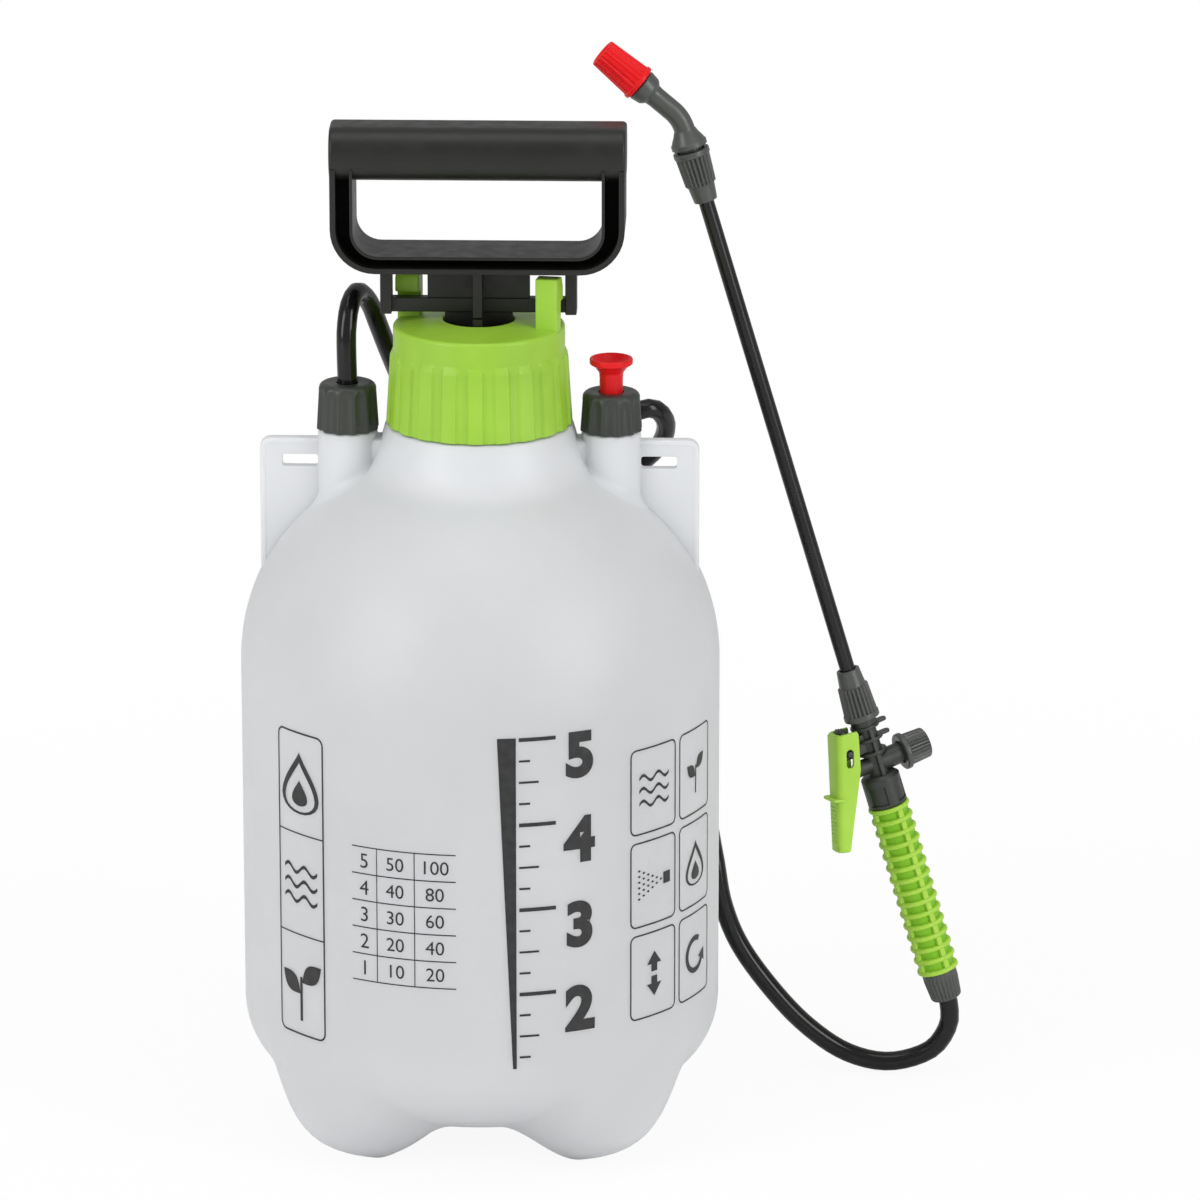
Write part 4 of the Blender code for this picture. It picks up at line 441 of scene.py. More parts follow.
def sideNeck(side):
    b = bottle
    at, radius, top, spigot = b["sideNeckAt"], b["sideNeckRadius"], b["sideNeckTop"], b["spigotRadius"]
    count, flareSteps = 72, 8
    rings = []
    for k in range(flareSteps + 1):  # the flare that runs into the dome
        t = math.pi / 2 * k / flareSteps
        rho = radius + b["flare"] * (1 - math.sin(t))
        rise = b["flare"] * (1 - math.cos(t)) - b["flareSunk"] * (k == 0)
        ring = []
        for a in around(count):
            x, y = at + rho * math.cos(a), rho * math.sin(a)
            far = math.hypot(x, y)
            ring.append(Vector((side * x, y, domeHeight(far) - neckBlend(far) + rise)))
        rings.append(ring)
    under = domeHeight(at + radius) - b["sideNeckSunk"]
    ends = ((0.75 * radius, under), (radius, top - 0.0012), (radius - 0.0003, top - 0.0004),
            (radius - 0.0011, top), (spigot, top), (spigot, b["spigotTop"]))
    closing = []
    for rho, z in ends:
        ring = [Vector((side * (at + rho * math.cos(a)), rho * math.sin(a), z)) for a in around(count)]
        closing.append(ring)
    neck = bmesh.new()
    loft(neck, closing[:1] + rings + closing[1:])
    return neck


fin = {"edge": 0.0885, "top": 0.2915, "inside": 0.056, "thick": 0.005, "panel": 0.0043, "rim": 0.0024,
       "corner": 0.0045, "sunk": 0.006, "seatSunk": 0.008, "web": 0.014, "webStart": 0.0335, "webEnd": 0.045,
       "slotStart": 0.065, "slotEnd": 0.0795, "slotTop": 0.2847, "slotLow": 0.2796, "slotCorner": 0.0012}


def finParts(side):
    f = fin
    rim, corner, top = f["rim"], f["corner"], f["top"]
    low = domeHeight(f["edge"]) - f["sunk"]
    seat = domeHeight(f["inside"]) - f["seatSunk"]
    edge, under = f["edge"] - rim / 2, top - rim / 2
    outline = softCorners([
        (side * f["inside"], under, 0), (side * edge, under, corner - rim / 2),
        (side * edge, low + 0.0004, 0), (side * f["inside"], seat, 0)])
    near, far, soft = side * f["slotStart"], side * f["slotEnd"], f["slotCorner"]
    slot = boxOutline(near, f["slotTop"], far, f["slotLow"], (soft, soft))
    panel, border, web = bmesh.new(), bmesh.new(), bmesh.new()
    plate(panel, outline, f["panel"], holes=[slot])
    # raised rim along the outer edge and the top
    edge, start = f["edge"], f["inside"] + 0.0004
    band = softCorners([
        (side * start, top, 0), (side * edge, top, corner), (side * edge, low, 0),
        (side * (edge - rim), low, 0), (side * (edge - rim), top - rim, corner - rim),
        (side * start, top - rim, 0)])
    plate(border, band, f["thick"], soft=0.0007)
    # the web between the side neck and the collar
    near, far = sorted((side * f["webStart"], side * f["webEnd"]))
    seat = domeHeight(f["webEnd"]) - 0.0015
    brick(web, (near, -f["web"] / 2, seat), (far, f["web"] / 2, top + 0.0006), soft=0.002)
    return panel, border, web


def makeBottle():
    b = bottle
    neck, top, collar = b["neckRadius"], b["neckTop"], b["collarHeight"]
    ends = ((b["bore"], top), (neck, top), (neck, collar), (b["collarRadius"] - 0.001, collar))
    outer = [flatRing(*end) for end in ends] + bottleRings(0.0, b["collarRadius"], 56, 50)
    inner = bottleRings(b["wall"], b["bore"], 20, 30)
    bm = bmesh.new()
    loft(bm, outer + inner[::-1], loop=True)
    for side in (-1, 1):
        for part in (sideNeck(side), *finParts(side)):
            bm = combine(bm, part, "UNION")
    setPiece("bottle", bm, onTank, "tank", "tank_body", ["tank"], sharp=50)


makeBottle()
print("bottle made")

# print on the bottle: a litre scale, a mixing chart and plain signs in dark ink
ink = {"lift": 0.00008, "step": 0.0022, "half": 0.135}
litres = {"first": 0.0525, "litre": 0.0354, "wedge": (0.0105, 0.0165, 0.018), "wedgeStart": 0.004,
          "wedgeOver": 0.0008, "ticks": 0.0192, "tickReach": (0.015, 0.0045, 0.008, 0.0045),
          "tickThick": (0.0016, 0.0009, 0.0009, 0.0009), "numberAt": 0.0445, "numberHeight": 0.0175,
          "numberDrop": 0.0078, "bold": 0.0012}
chart = {"left": -0.05, "right": -0.006, "low": 0.0905, "row": 0.0112, "rows": 5, "rule": 0.0005,
         "thin": 0.0004, "columns": ((-0.0444, 1, 0.0062), (-0.031, 10, 0.0056), (-0.0145, 20, 0.0056)),
         "dividers": (-0.0388, -0.0228)}
tallFrame = {"left": -0.0915, "low": 0.06, "right": -0.064, "high": 0.188, "line": 0.0008, "corner": 0.0035,
             "middle": -0.0777, "rules": (0.1027, 0.1453), "rule": 0.0006, "ruleGap": 0.0005}
smallFrame = {"left": 0.068, "low": 0.069, "width": 0.0265, "height": 0.036, "pitch": (0.029, 0.039),
              "line": 0.0007, "corner": 0.003, "sign": 0.019}


def inkFill(bm, outer, holes=()):
    made = bmesh.new()
    edges = outlineEdges(made, (outer, *holes))
    bmesh.ops.triangle_fill(made, use_beauty=True, edges=edges)
    addMesh(bm, made)


def inkBox(bm, left, low, right, high):
    inkFill(bm, boxOutline(left, low, right, high))


def inkFrame(bm, left, low, right, high, line, corner):
    inside = boxOutline(left + line, low + line, right - line, high - line, (corner - line, corner - line))
    inkFill(bm, boxOutline(left, low, right, high, (corner, corner)), [inside])


def inkNumber(bm, number, height, x, z, bold=0.0):
    letters = bpy.data.curves.new("spare", "FONT")
    letters.body = str(number)
    letters.size = height / 0.71
    letters.offset = bold
    letters.align_x = "CENTER"
    holder = bpy.data.objects.new("spare", letters)
    bpy.context.scene.collection.objects.link(holder)
    bpy.context.view_layer.update()
    mesh = bpy.data.meshes.new_from_object(holder.evaluated_get(bpy.context.evaluated_depsgraph_get()))
    bpy.data.objects.remove(holder, do_unlink=True)
    mesh.transform(shift(x, 0, z - height / 2) @ turn(90, "X"))
    bm.from_mesh(mesh)
    bpy.data.meshes.remove(mesh)


# each sign is drawn round (x, z), in shares of its size
def dropLoop(x, z, size):
    wide, tall = 0.62 * size, size / 2
    return [(x + wide * math.sin(a) * math.sin(a / 2) ** 1.6, z + tall * math.cos(a)) for a in around(28)]


def signDrop(bm, x, z, size):
    inkFill(bm, dropLoop(x, z, size), [dropLoop(x, z - 0.06 * size, 0.8 * size)])
    inkFill(bm, dropLoop(x, z - 0.16 * size, 0.42 * size))


def signFan(bm, x, z, size):
    # a nozzle block at the right and rows of drops that spread to the left
    inkBox(bm, x + 0.28 * size, z - 0.13 * size, x + 0.5 * size, z + 0.13 * size)
    wide, tall = 0.045 * size, 0.03 * size
    for row in range(6):
        for k in range(row + 1):
            u = x + (0.2 - 0.13 * row) * size
            w = z + (k - row / 2) * 0.125 * size
            inkFill(bm, [(u - wide, w), (u, w - tall), (u + wide, w), (u, w + tall)])


def signArrows(bm, x, z, size):
    head, shaft = 0.22 * size, 0.09 * size
    for way in (-1, 1):
        tip, neck, end = (z + way * share * size for share in (0.5, 0.22, 0.05))
        inkFill(bm, [(x, tip), (x - head, neck), (x - shaft, neck), (x - shaft, end),
                     (x + shaft, end), (x + shaft, neck), (x + head, neck)])


def signTurn(bm, x, z, size):
    def spot(radius, angle, ahead=0.0):
        c, s = math.cos(angle), math.sin(angle)
        return x + radius * c - ahead * s, z + radius * s + ahead * c

    outer, inner = 0.42 * size, 0.3 * size
    angles = [math.radians(60 + 270 * k / 30) for k in range(31)]
    inkFill(bm, [spot(outer, a) for a in angles] + [spot(inner, a) for a in reversed(angles)])
    middle, across, end = (outer + inner) / 2, 0.17 * size, angles[-1]
    inkFill(bm, [spot(middle + across, end), spot(middle, end, 0.26 * size), spot(middle - across, end)])


def signLeaf(bm, x, z, size):
    loop = [(k / 24 * 0.46 * size, math.sin(math.pi * k / 24) * 0.13 * size) for k in range(25)]
    loop += [(u, -w) for u, w in reversed(loop[1:-1])]
    c, s = math.cos(math.radians(38)), math.sin(math.radians(38))
    for way, rise in ((-1, -0.12 * size), (1, 0.04 * size)):
        inkFill(bm, [(x + way * (u * c - w * s + 0.02 * size), z + u * s + w * c + rise) for u, w in loop])
    inkBox(bm, x - 0.025 * size, z - 0.5 * size, x + 0.025 * size, z + 0.12 * size)


def signWaves(bm, x, z, size):
    half = 0.035 * size
    for row in range(3):
        w = z + (row - 1) * 0.28 * size
        shares = [k / 32 for k in range(33)]
        top = [(x + (s - 0.5) * 0.9 * size, w + 0.07 * size * math.sin(s * 4 * math.pi)) for s in shares]
        inkFill(bm, [(u, v + half) for u, v in top] + [(u, v - half) for u, v in reversed(top)])


def printLitres(bm):
    # a wedge that widens upwards, ticks and bold numbers
    s = litres
    low, high = s["first"] + s["wedgeStart"], s["first"] + 4 * s["litre"] + s["wedgeOver"]
    wide, narrow, right = s["wedge"]
    inkFill(bm, [(narrow, low), (right, low), (right, high), (wide, high)])
    for k in range(1, 17):
        z = s["first"] + s["litre"] * k / 4
        half = s["tickThick"][k % 4] / 2
        inkBox(bm, s["ticks"], z - half, s["ticks"] + s["tickReach"][k % 4], z + half)
        if k % 4 == 0:
            inkNumber(bm, k // 4 + 1, s["numberHeight"], s["numberAt"], z - s["numberDrop"], s["bold"])


def printChart(bm):
    c = chart
    half = c["rule"] / 2
    for row in range(c["rows"] + 1):
        z = c["low"] + c["row"] * row
        inkBox(bm, c["left"], z - half, c["right"], z + half)
        if row < c["rows"]:
            for x, unit, height in c["columns"]:
                inkNumber(bm, unit * (row + 1), height, x, z + c["row"] / 2)
    half = c["thin"] / 2
    for x in c["dividers"]:
        inkBox(bm, x - half, c["low"], x + half, c["low"] + c["row"] * c["rows"])


def printFrames(bm):
    t = tallFrame
    inkFrame(bm, t["left"], t["low"], t["right"], t["high"], t["line"], t["corner"])
    half, gap = t["rule"] / 2, t["ruleGap"]
    for z in t["rules"]:
        inkBox(bm, t["left"] + gap, z - half, t["right"] - gap, z + half)
    for sign, z, size in ((signDrop, 0.1666, 0.026), (signWaves, 0.124, 0.022), (signLeaf, 0.0812, 0.03)):
        sign(bm, t["middle"], z, size)
    s = smallFrame
    for k, sign in enumerate((signArrows, signTurn, signFan, signDrop, signWaves, signLeaf)):
        left, low = s["left"] + s["pitch"][0] * (k % 2), s["low"] + s["pitch"][1] * (k // 2)
        inkFrame(bm, left, low, left + s["width"], low + s["height"], s["line"], s["corner"])
        sign(bm, left + s["width"] / 2, low + s["height"] / 2, s["sign"])


def makePrint():
    bm = bmesh.new()
    printLitres(bm)
    printChart(bm)
    printFrames(bm)
    # wrap the flat sheet round the bottle
    for k in range(round(2 * ink["half"] / ink["step"])):
        at = (-ink["half"] + ink["step"] * (k + 0.5), 0, 0)
        bmesh.ops.bisect_plane(bm, geom=[*bm.verts, *bm.edges, *bm.faces], plane_co=at, plane_no=(1, 0, 0))
    radius = bottle["radius"] + ink["lift"]
    for v in bm.verts:
        angle = v.co.x / bottle["radius"]
        v.co = (radius * math.sin(angle), -radius * math.cos(angle), v.co.z)
    setPiece("bottlePrint", bm, onTank, "print", "tank_body")


makePrint()
print("print made")

# pump cap
cap = {
    "radius": 0.0375, "skirtTop": 0.0358, "band": 0.0345, "bottom": 0.2985, "shoulder": 0.3293,
    "chamfer": 0.003, "top": 0.339, "peak": 0.3412, "hole": 0.0144, "thread": 0.0334, "seat": 0.3266,
    "under": 0.336, "wall": 0.0036, "roof": 0.002, "grooves": 21, "depth": 0.0016, "floorSpread": 0.0017,
    "grooveWidth": 0.25,
}
hook = {"near": 0.00315, "thick": 0.005, "reach": 0.0037, "noseLow": 0.3504, "noseHigh": 0.3604,
        "outer": 0.0343, "length": 0.0097, "turn": -9.5}


def fluted(angle, r, z):
    c = cap
    if r <= c["band"] or z > c["shoulder"]:
        return r
    pitch = 2 * math.pi / c["grooves"]
    across = math.remainder(angle - math.pi / 2, pitch) / (pitch * c["grooveWidth"])
    floor = c["band"] + c["floorSpread"] * (c["shoulder"] - z) / (c["shoulder"] - c["bottom"])
    return min(r, max(floor, r - c["depth"] * max(0.0, 1 - across**2) ** 0.8))


def addHooks(bm):
    h = hook
    root = cap["under"] + cap["roof"]
    near, far, nose = h["near"], h["near"] + h["thick"], h["near"] - h["reach"]
    low, high = h["noseLow"], h["noseHigh"]
    outline = [(near, root), (near, low), (nose, low), (nose, mix(low, high, 0.55)),
               (near - 0.4 * h["reach"], high), (far, high), (far, root)]
    aside = shift(-h["outer"] + h["length"] / 2) @ turn(90, "Z")
    for i in range(2):
        part = bmesh.new()
        plate(part, outline, h["length"], aside, soft=0.0007, segments=3)
        for v in part.verts:  # the outer face follows the cap's round
            rho = math.hypot(v.co.x, v.co.y)
            if rho > h["outer"]:
                v.co.x *= h["outer"] / rho
                v.co.y *= h["outer"] / rho
        part.transform(turn(h["turn"] + 180 * i, "Z"))
        addMesh(bm, part)


def makeCap():
    c = cap
    band, bottom, shoulder, seat, under = c["band"], c["bottom"], c["shoulder"], c["seat"], c["under"]
    outside = softCorners([
        (c["hole"], c["peak"], 0.0005), (band, c["top"] + 0.0002, 0.0016), (band, shoulder, 0.0005),
        (c["skirtTop"], shoulder - c["chamfer"], 0.0009), (c["radius"], bottom, 0.0007),
        (c["thread"], bottom, 0), (c["thread"], seat, 0), (band - c["wall"], seat, 0),
        (band - c["wall"], under, 0), (c["hole"], under + c["roof"], 0)], 5)
    # more rings down the skirt, so that the tops of the grooves have shape
    profile = []
    for i, (r, z) in enumerate(outside):
        profile.append((r, z))
        after = outside[(i + 1) % len(outside)]
        apart = math.dist((r, z), after)
        if r >= band and after[0] > band and 0.0015 < apart:
            count = 6 if apart < 0.01 else 14
            profile += [(mix(r, after[0], k / count), mix(z, after[1], k / count)) for k in range(1, count)]
    bm = bmesh.new()
    spin(bm, profile, c["grooves"] * 18, fluted)
    addHooks(bm)
    setPiece("pumpCap", bm, onTank, "green", "pump", ["pump_cap"], sharp=42)


makeCap()
print("pump cap made")

# handle
handle = {
    "half": 0.059, "bottom": 0.3625, "top": 0.4208, "gripLow": 0.3992, "gripSunk": 0.006, "depth": 0.03,
    "round": 0.0095, "side": 0.0092, "floor": 0.0072, "rim": 0.0024, "innerRim": 0.0013, "web": 0.004,
    "outerCorner": 0.018, "innerCorner": 0.01, "inset": 0.0003,
    "barLow": 0.3442, "barHigh": 0.35, "barThick": 0.0055, "legIn": 0.0347, "legOut": 0.0393,
    "legDepth": 0.011, "webHalf": 0.0205, "rib": 0.0037, "rodRadius": 0.0137,
}


def bandOutline(outside, inside, low, lowInside, high, cornerOut, cornerIn):
    return softCorners([
        (-outside, high, 0), (-outside, low, cornerOut), (outside, low, cornerOut), (outside, high, 0),
        (inside, high, 0), (inside, lowInside, cornerIn), (-inside, lowInside, cornerIn),
        (-inside, high, 0)], 10)


def addFrame(bm):
    # two rims with a thinner web between them
    h = handle
    half, rim, thin = h["half"] - h["inset"], h["rim"], h["innerRim"]
    window, high = half - h["side"], h["gripLow"] + h["gripSunk"]
    low, floor, outer, inner = h["bottom"], h["bottom"] + h["floor"], h["outerCorner"], h["innerCorner"]
    rimDepth = h["depth"] - 2 * h["inset"]
    band = bandOutline(half, half - rim, low, low + rim, high, outer, outer - rim)
    plate(bm, band, rimDepth, soft=0.0005)
    band = bandOutline(window + thin, window, floor - thin, floor, high, inner + thin, inner)
    plate(bm, band, rimDepth, soft=0.0004)
    web = bandOutline(half - rim / 2, window + thin / 2, low + rim / 2, floor - thin / 2, high,
                      outer - rim / 2, inner + thin / 2)
    plate(bm, web, h["web"])
    # the web's faces take material index 1, a painted shade that darkens the channels between the rims
    for face in bm.faces:
        face.material_index = int(max(abs(v.co.y) for v in face.verts) < h["web"] / 2 + 0.0001)


def addGripBar(bm):
    # a rounded bar along X with a soft end edge
    h = handle
    deep, soft = h["depth"] / 2, h["round"]
    section = softCorners([(-deep, h["gripLow"], soft), (-deep, h["top"], soft), (deep, h["top"], soft),
                           (deep, h["gripLow"], soft)], 9)
    middle = (h["gripLow"] + h["top"]) / 2
    ends = ((-h["half"], 0.0013), (-h["half"] + 0.0004, 0.0005), (-h["half"] + 0.0013, 0.0))
    rings = []
    for x, inset in (*ends, *((-x, i) for x, i in reversed(ends))):
        share = 1 - inset / deep
        rings.append([Vector((x, y * share, middle + (z - middle) * share)) for y, z in section])
    loft(bm, rings)


def makeHandle():
    h = handle
    bm = bmesh.new()
    addFrame(bm)
    addGripBar(bm)
    # locking bar on two legs, and the crossed webs over the rod
    sunk, low, deep = h["bottom"] + h["rim"] / 2, h["barLow"], h["legDepth"] / 2
    for side in (-1, 1):
        x0, x1 = sorted((side * h["legIn"], side * h["legOut"]))
        brick(bm, (x0, -deep, low - 0.0003), (x1, deep, sunk), soft=0.0005)
    bar, deep = (h["legIn"] + h["legOut"]) / 2, h["barThick"] / 2
    brick(bm, (-bar, -deep, low), (bar, deep, h["barHigh"]), soft=0.0005)
    thin = h["rib"] / 2
    brick(bm, (-h["webHalf"], -thin, low + 0.0004), (h["webHalf"], thin, sunk), soft=0.0004)
    brick(bm, (-thin, -h["rodRadius"], low + 0.0003), (thin, h["rodRadius"], sunk), soft=0.0004)
    # the second look is painted shade on the web inside the channels
    setPiece("pumpHandle", bm, onTank, "charcoal", "handle", ["pump_handle"], second="paintedShade")


makeHandle()
print("handle made")

# side nuts and the red relief knob
sideNut = {"radius": 0.0127, "topRadius": 0.0117, "bottom": 0.2953, "thread": 0.0094, "roof": 0.003,
           "scallops": 12, "depth": 0.001, "scallopWidth": 0.42, "scallopEnd": 0.0062, "scallopFade": 0.0052,
           "rings": (0.03, 0.07, 0.12, 0.18, 0.25, 0.5, 0.75)}


def makeSideNut(name, side, top, hole, node):
    n = sideNut
    inside = top - n["roof"]
    profile = softCorners([
        (hole, top - 0.0004, 0.0003), (n["topRadius"] - 0.0002, top, 0.0028),
        (n["radius"], n["bottom"], 0.0006), (n["thread"], n["bottom"], 0), (n["thread"], inside, 0),
        (hole, inside, 0)], 6)
    dense = []
    for i, (r, z) in enumerate(profile):
        dense.append((r, z))
        after = profile[(i + 1) % len(profile)]
        if r > n["topRadius"] - 0.0006 and math.dist((r, z), after) > 0.008:
            dense += [(mix(r, after[0], s), mix(z, after[1], s)) for s in n["rings"]]
    pitch = 2 * math.pi / n["scallops"]

    def scalloped(angle, r, z):
        if r < n["thread"] + 0.0006:
            return r
        across = math.remainder(angle, pitch) / (pitch * n["scallopWidth"])
        up = max(0.0, (z - (top - n["scallopEnd"])) / n["scallopFade"])
        return r - n["depth"] * max(0.0, 1 - across**2 - up**2)

    place = onTank @ shift(side * bottle["sideNeckAt"])
    turnedPiece(name, dense, n["scallops"] * 12, place, "nut", "tank_body", node, scalloped)


makeSideNut("outletNut", -1, 0.3146, 0.0044, "outlet_nut")
makeSideNut("reliefNut", 1, 0.3116, 0.0051, "relief_nut")

reliefKnob = {"rim": 0.0087, "stem": 0.0047, "top": 0.3252, "base": 0.3088, "pin": 0.0018, "pinEnd": 0.2839,
              "dish": 0.0042}


def makeReliefKnob():
    k = reliefKnob
    top, rim, stem, pin, dish = k["top"], k["rim"], k["stem"], k["pin"], k["top"] - k["dish"]
    profile = softCorners([
        (nearAxis, dish, 0), (0.0026, dish, 0.002), (0.006, top - 0.0022, 0.004), (rim - 0.0009, top, 0.0003),
        (rim, top - 0.0002, 0.0006), (rim, top - 0.0024, 0.0007), (stem + 0.002, top - 0.0036, 0.0012),
        (stem + 0.0002, top - 0.006, 0.002), (stem, top - 0.0085, 0), (stem, k["base"], 0),
        (pin, k["base"], 0), (pin, k["pinEnd"], 0), (nearAxis, k["pinEnd"], 0)], 5)
    turnedPiece("reliefKnob", profile, 64, onRelief, "red", "relief_pin", "relief_knob", loop=False)


makeReliefKnob()

reliefSpring = {"radius": 0.0031, "wire": 0.00045, "low": 0.28647, "high": 0.30398, "turns": 5, "steps": 24,
                "keep": 0.71}


def makeReliefSpring():
    s = reliefSpring
    count = s["steps"] * s["turns"]
    path = []
    for i in range(count + 1):
        angle = 2 * math.pi * i / s["steps"]
        height = mix(s["low"] + s["wire"], s["high"] - s["wire"], i / count)
        path.append((s["radius"] * math.cos(angle), s["radius"] * math.sin(angle), height))
    bm = bmesh.new()
    sweep(bm, path, [s["wire"]] * len(path), 10)
    piece = setPiece("reliefSpring", bm, onRelief, "steel", "relief_pin", ["relief_spring"])
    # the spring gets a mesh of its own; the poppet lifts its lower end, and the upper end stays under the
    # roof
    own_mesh(piece)


makeReliefSpring()
print("side nuts and relief valve made")

# hose
hose = {
    "radius": 0.004, "start": 0.3105, "end": -0.10035, "nutEnd": -0.1064, "straight": 0.004, "step": 0.004,
    "route": (
        (-0.0531, 0.0, 0.3185), (-0.0533, 0.0002, 0.3275), (-0.0532, 0.0012, 0.3365), (-0.052, 0.006, 0.345),
        (-0.0492, 0.0145, 0.348), (-0.0452, 0.0225, 0.3415), (-0.042, 0.028, 0.331), (-0.038, 0.036, 0.317),
        (-0.033, 0.049, 0.3), (-0.025, 0.069, 0.279), (-0.011, 0.086, 0.263), (0.012, 0.093, 0.255),
        (0.034, 0.089, 0.258), (0.049, 0.079, 0.27), (0.06, 0.0735, 0.282), (0.069, 0.0755, 0.2835),
        (0.0735, 0.084, 0.274), (0.068, 0.094, 0.26), (0.048, 0.103, 0.243), (0.016, 0.109, 0.225),
        (-0.02, 0.107, 0.198), (-0.052, 0.096, 0.17), (-0.073, 0.082, 0.137), (-0.075, 0.079, 0.101),
        (-0.062, 0.089, 0.069), (-0.035, 0.102, 0.05), (-0.002, 0.108, 0.049), (0.026, 0.105, 0.069),
        (0.041, 0.1005, 0.099), (0.05, 0.0965, 0.128), (0.063, 0.0885, 0.147), (0.079, 0.0775, 0.143),
        (0.089, 0.07, 0.118), (0.0945, 0.065, 0.093), (0.098, 0.0625, 0.074), (0.105, 0.062, 0.056),
        (0.118, 0.062, 0.037), (0.133, 0.062, 0.0205), (0.15, 0.062, 0.0085), (0.168, 0.062, 0.0044),
        (0.185, 0.062, 0.0095), (0.1925, 0.062, 0.02)),
}


def smoothRoute(points, step):
    # a curve through every point, cut into equal steps
    ends = [2 * points[0] - points[1], *points, 2 * points[-1] - points[-2]]
    fine = []
    for a, b, c, d in zip(ends, ends[1:], ends[2:], ends[3:]):
        for k in range(24):
            t = k / 24
            square, cube = 2 * a - 5 * b + 4 * c - d, 3 * b - a - 3 * c + d
            fine.append(0.5 * (2 * b + (c - a) * t + square * t**2 + cube * t**3))
    fine.append(points[-1])
    length = sum((q - p).length for p, q in zip(fine, fine[1:]))
    count = round(length / step)
    route, walked, target = [fine[0]], 0.0, length / count
    for p, q in zip(fine, fine[1:]):
        span = (q - p).length
        while walked + span >= target and len(route) < count:
            route.append(p.lerp(q, (target - walked) / span))
            target += length / count
        walked += span
    return route + [fine[-1]]


def makeHose():
    h = hose
    x, out = -bottle["sideNeckAt"], h["straight"]
    first = [onTank @ Vector((x, 0, z)) for z in (h["start"], h["start"] + out)]
    last = [onLance @ Vector((0, 0, z)) for z in (h["nutEnd"] - out, h["nutEnd"], h["end"])]
    points = smoothRoute([*first, *(onTank @ Vector(p) for p in h["route"]), *last], h["step"])
    curve = bpy.data.curves.new("hose", "CURVE")
    curve.dimensions = "3D"
    curve.bevel_depth = h["radius"]
    curve.bevel_resolution = 6
    curve.use_fill_caps = True
    line = curve.splines.new("POLY")
    line.points.add(len(points) - 1)
    for point, co in zip(line.points, points):
        point.co = (*co, 1)
    line.use_smooth = True
    curve.materials.append(finish["hose"])
    piece = bpy.data.objects.new("feedHose", curve)
    bpy.context.scene.collection.objects.link(piece)
    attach(piece, "tank_body")
    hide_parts("hose")


makeHose()

# hose nut and grip
hoseNut = {"low": -0.1064, "high": -0.0937, "lowRadius": 0.0064, "radius": 0.0073, "lip": 0.0028,
           "bore": 0.0044, "thread": 0.0056, "ribs": 24, "ribDepth": 0.00055}


def makeHoseNut():
    n = hoseNut
    low, high, radius, lip = n["low"], n["high"], n["radius"], n["low"] + n["lip"]
    profile = softCorners([
        (n["bore"], low, 0.0003), (n["lowRadius"], low, 0.0014), (radius, high - 0.004, 0),
        (radius, high - 0.0012, 0), (radius, high, 0.0004), (n["thread"], high, 0), (n["thread"], lip, 0),
        (n["bore"], lip, 0)], 5)
    ribs = grooved(n["ribs"], n["ribDepth"], low + 0.0006, high - 0.0015, 0.006)
    turnedPiece("hoseNut", profile, n["ribs"] * 8, onLance, "fitting", "tank_body", "hose_nut", ribs)


grip = {"low": -0.0934, "high": -0.0177, "core": 0.0068, "bore": 0.0052, "rings": 15, "ringRadius": 0.0088,
        "ringWidth": 0.0019, "crown": 0.0007, "ringFoot": 1.15, "bars": 4, "barTurn": -56.0,
        "barWidth": 0.0024, "barRadius": 0.0083, "barSunk": 0.0008}


def makeGrip():
    g = grip
    low, high, core = g["low"], g["high"], g["core"]
    bm = bmesh.new()
    spin(bm, boxOutline(g["bore"], low, core, high), 64)
    half, crown = g["ringWidth"] / 2, g["crown"]
    pitch = (high - low - g["ringWidth"]) / (g["rings"] - 1)
    for i in range(g["rings"]):
        middle = low + half + pitch * i
        ring = [(core - 0.0003, middle - half * g["ringFoot"])]
        for k in range(9):
            angle = math.pi * (k / 8 - 0.5)
            r = g["ringRadius"] - crown + crown * math.cos(angle)
            ring.append((r, middle + half * math.sin(angle)))
        ring.append((core - 0.0003, middle + half * g["ringFoot"]))
        spin(bm, [(r, min(max(z, low), high)) for r, z in ring], 64)
    wide = g["barWidth"] / 2
    for i in range(g["bars"]):
        inside, outside = (core - g["barSunk"], -wide, low + 0.0004), (g["barRadius"], wide, high - 0.0004)
        brick(bm, inside, outside, turn(g["barTurn"] + 90 * i, "Z"), soft=0.0004)
    for face in bm.faces:
        face.material_index = int(max(math.hypot(v.co.x, v.co.y) for v in face.verts) < core + 0.0001)
    setPiece("lanceGrip", bm, onLance, "lime", "tank_body", ["grip"], second="leaf")


makeHoseNut()
makeGrip()

# valve body
valve = {
    "collar": 0.0082, "collarLow": -0.0174, "collarHigh": -0.0047, "panelDepth": 0.0007, "panelHalf": 29.0,
    "panelLow": 0.0014, "panelHigh": 0.0034, "core": 0.0043, "discRadius": 0.0062, "discWidth": 0.0015,
    "discs": (0.0062, 0.0122, 0.0176), "webWidth": 0.0018, "webReach": 0.006, "spigot": 0.0055,
    "spigotTop": 0.031, "bore": 0.0034, "leftRadius": 0.0034, "leftBore": 0.002, "leftEnd": -0.0092,
    "rightRadius": 0.0045, "rightBore": 0.003, "rightEnd": 0.019, "socket": 0.0052, "tabStart": 0.003,
    "tabReach": 0.0098, "tabHalf": 0.0019, "tabCorner": 0.0018,
}
lug = {"outline": ((0.0, 0.0147, 0), (-0.0132, 0.0163, 0.0026), (-0.015, 0.0071, 0.0012), (0.0, 0.0071, 0)),
       "width": 0.006, "pinX": -0.0118, "pinHeight": 0.0103, "pin": 0.0012, "pinHalf": 0.0066,
       "hole": 0.00155}


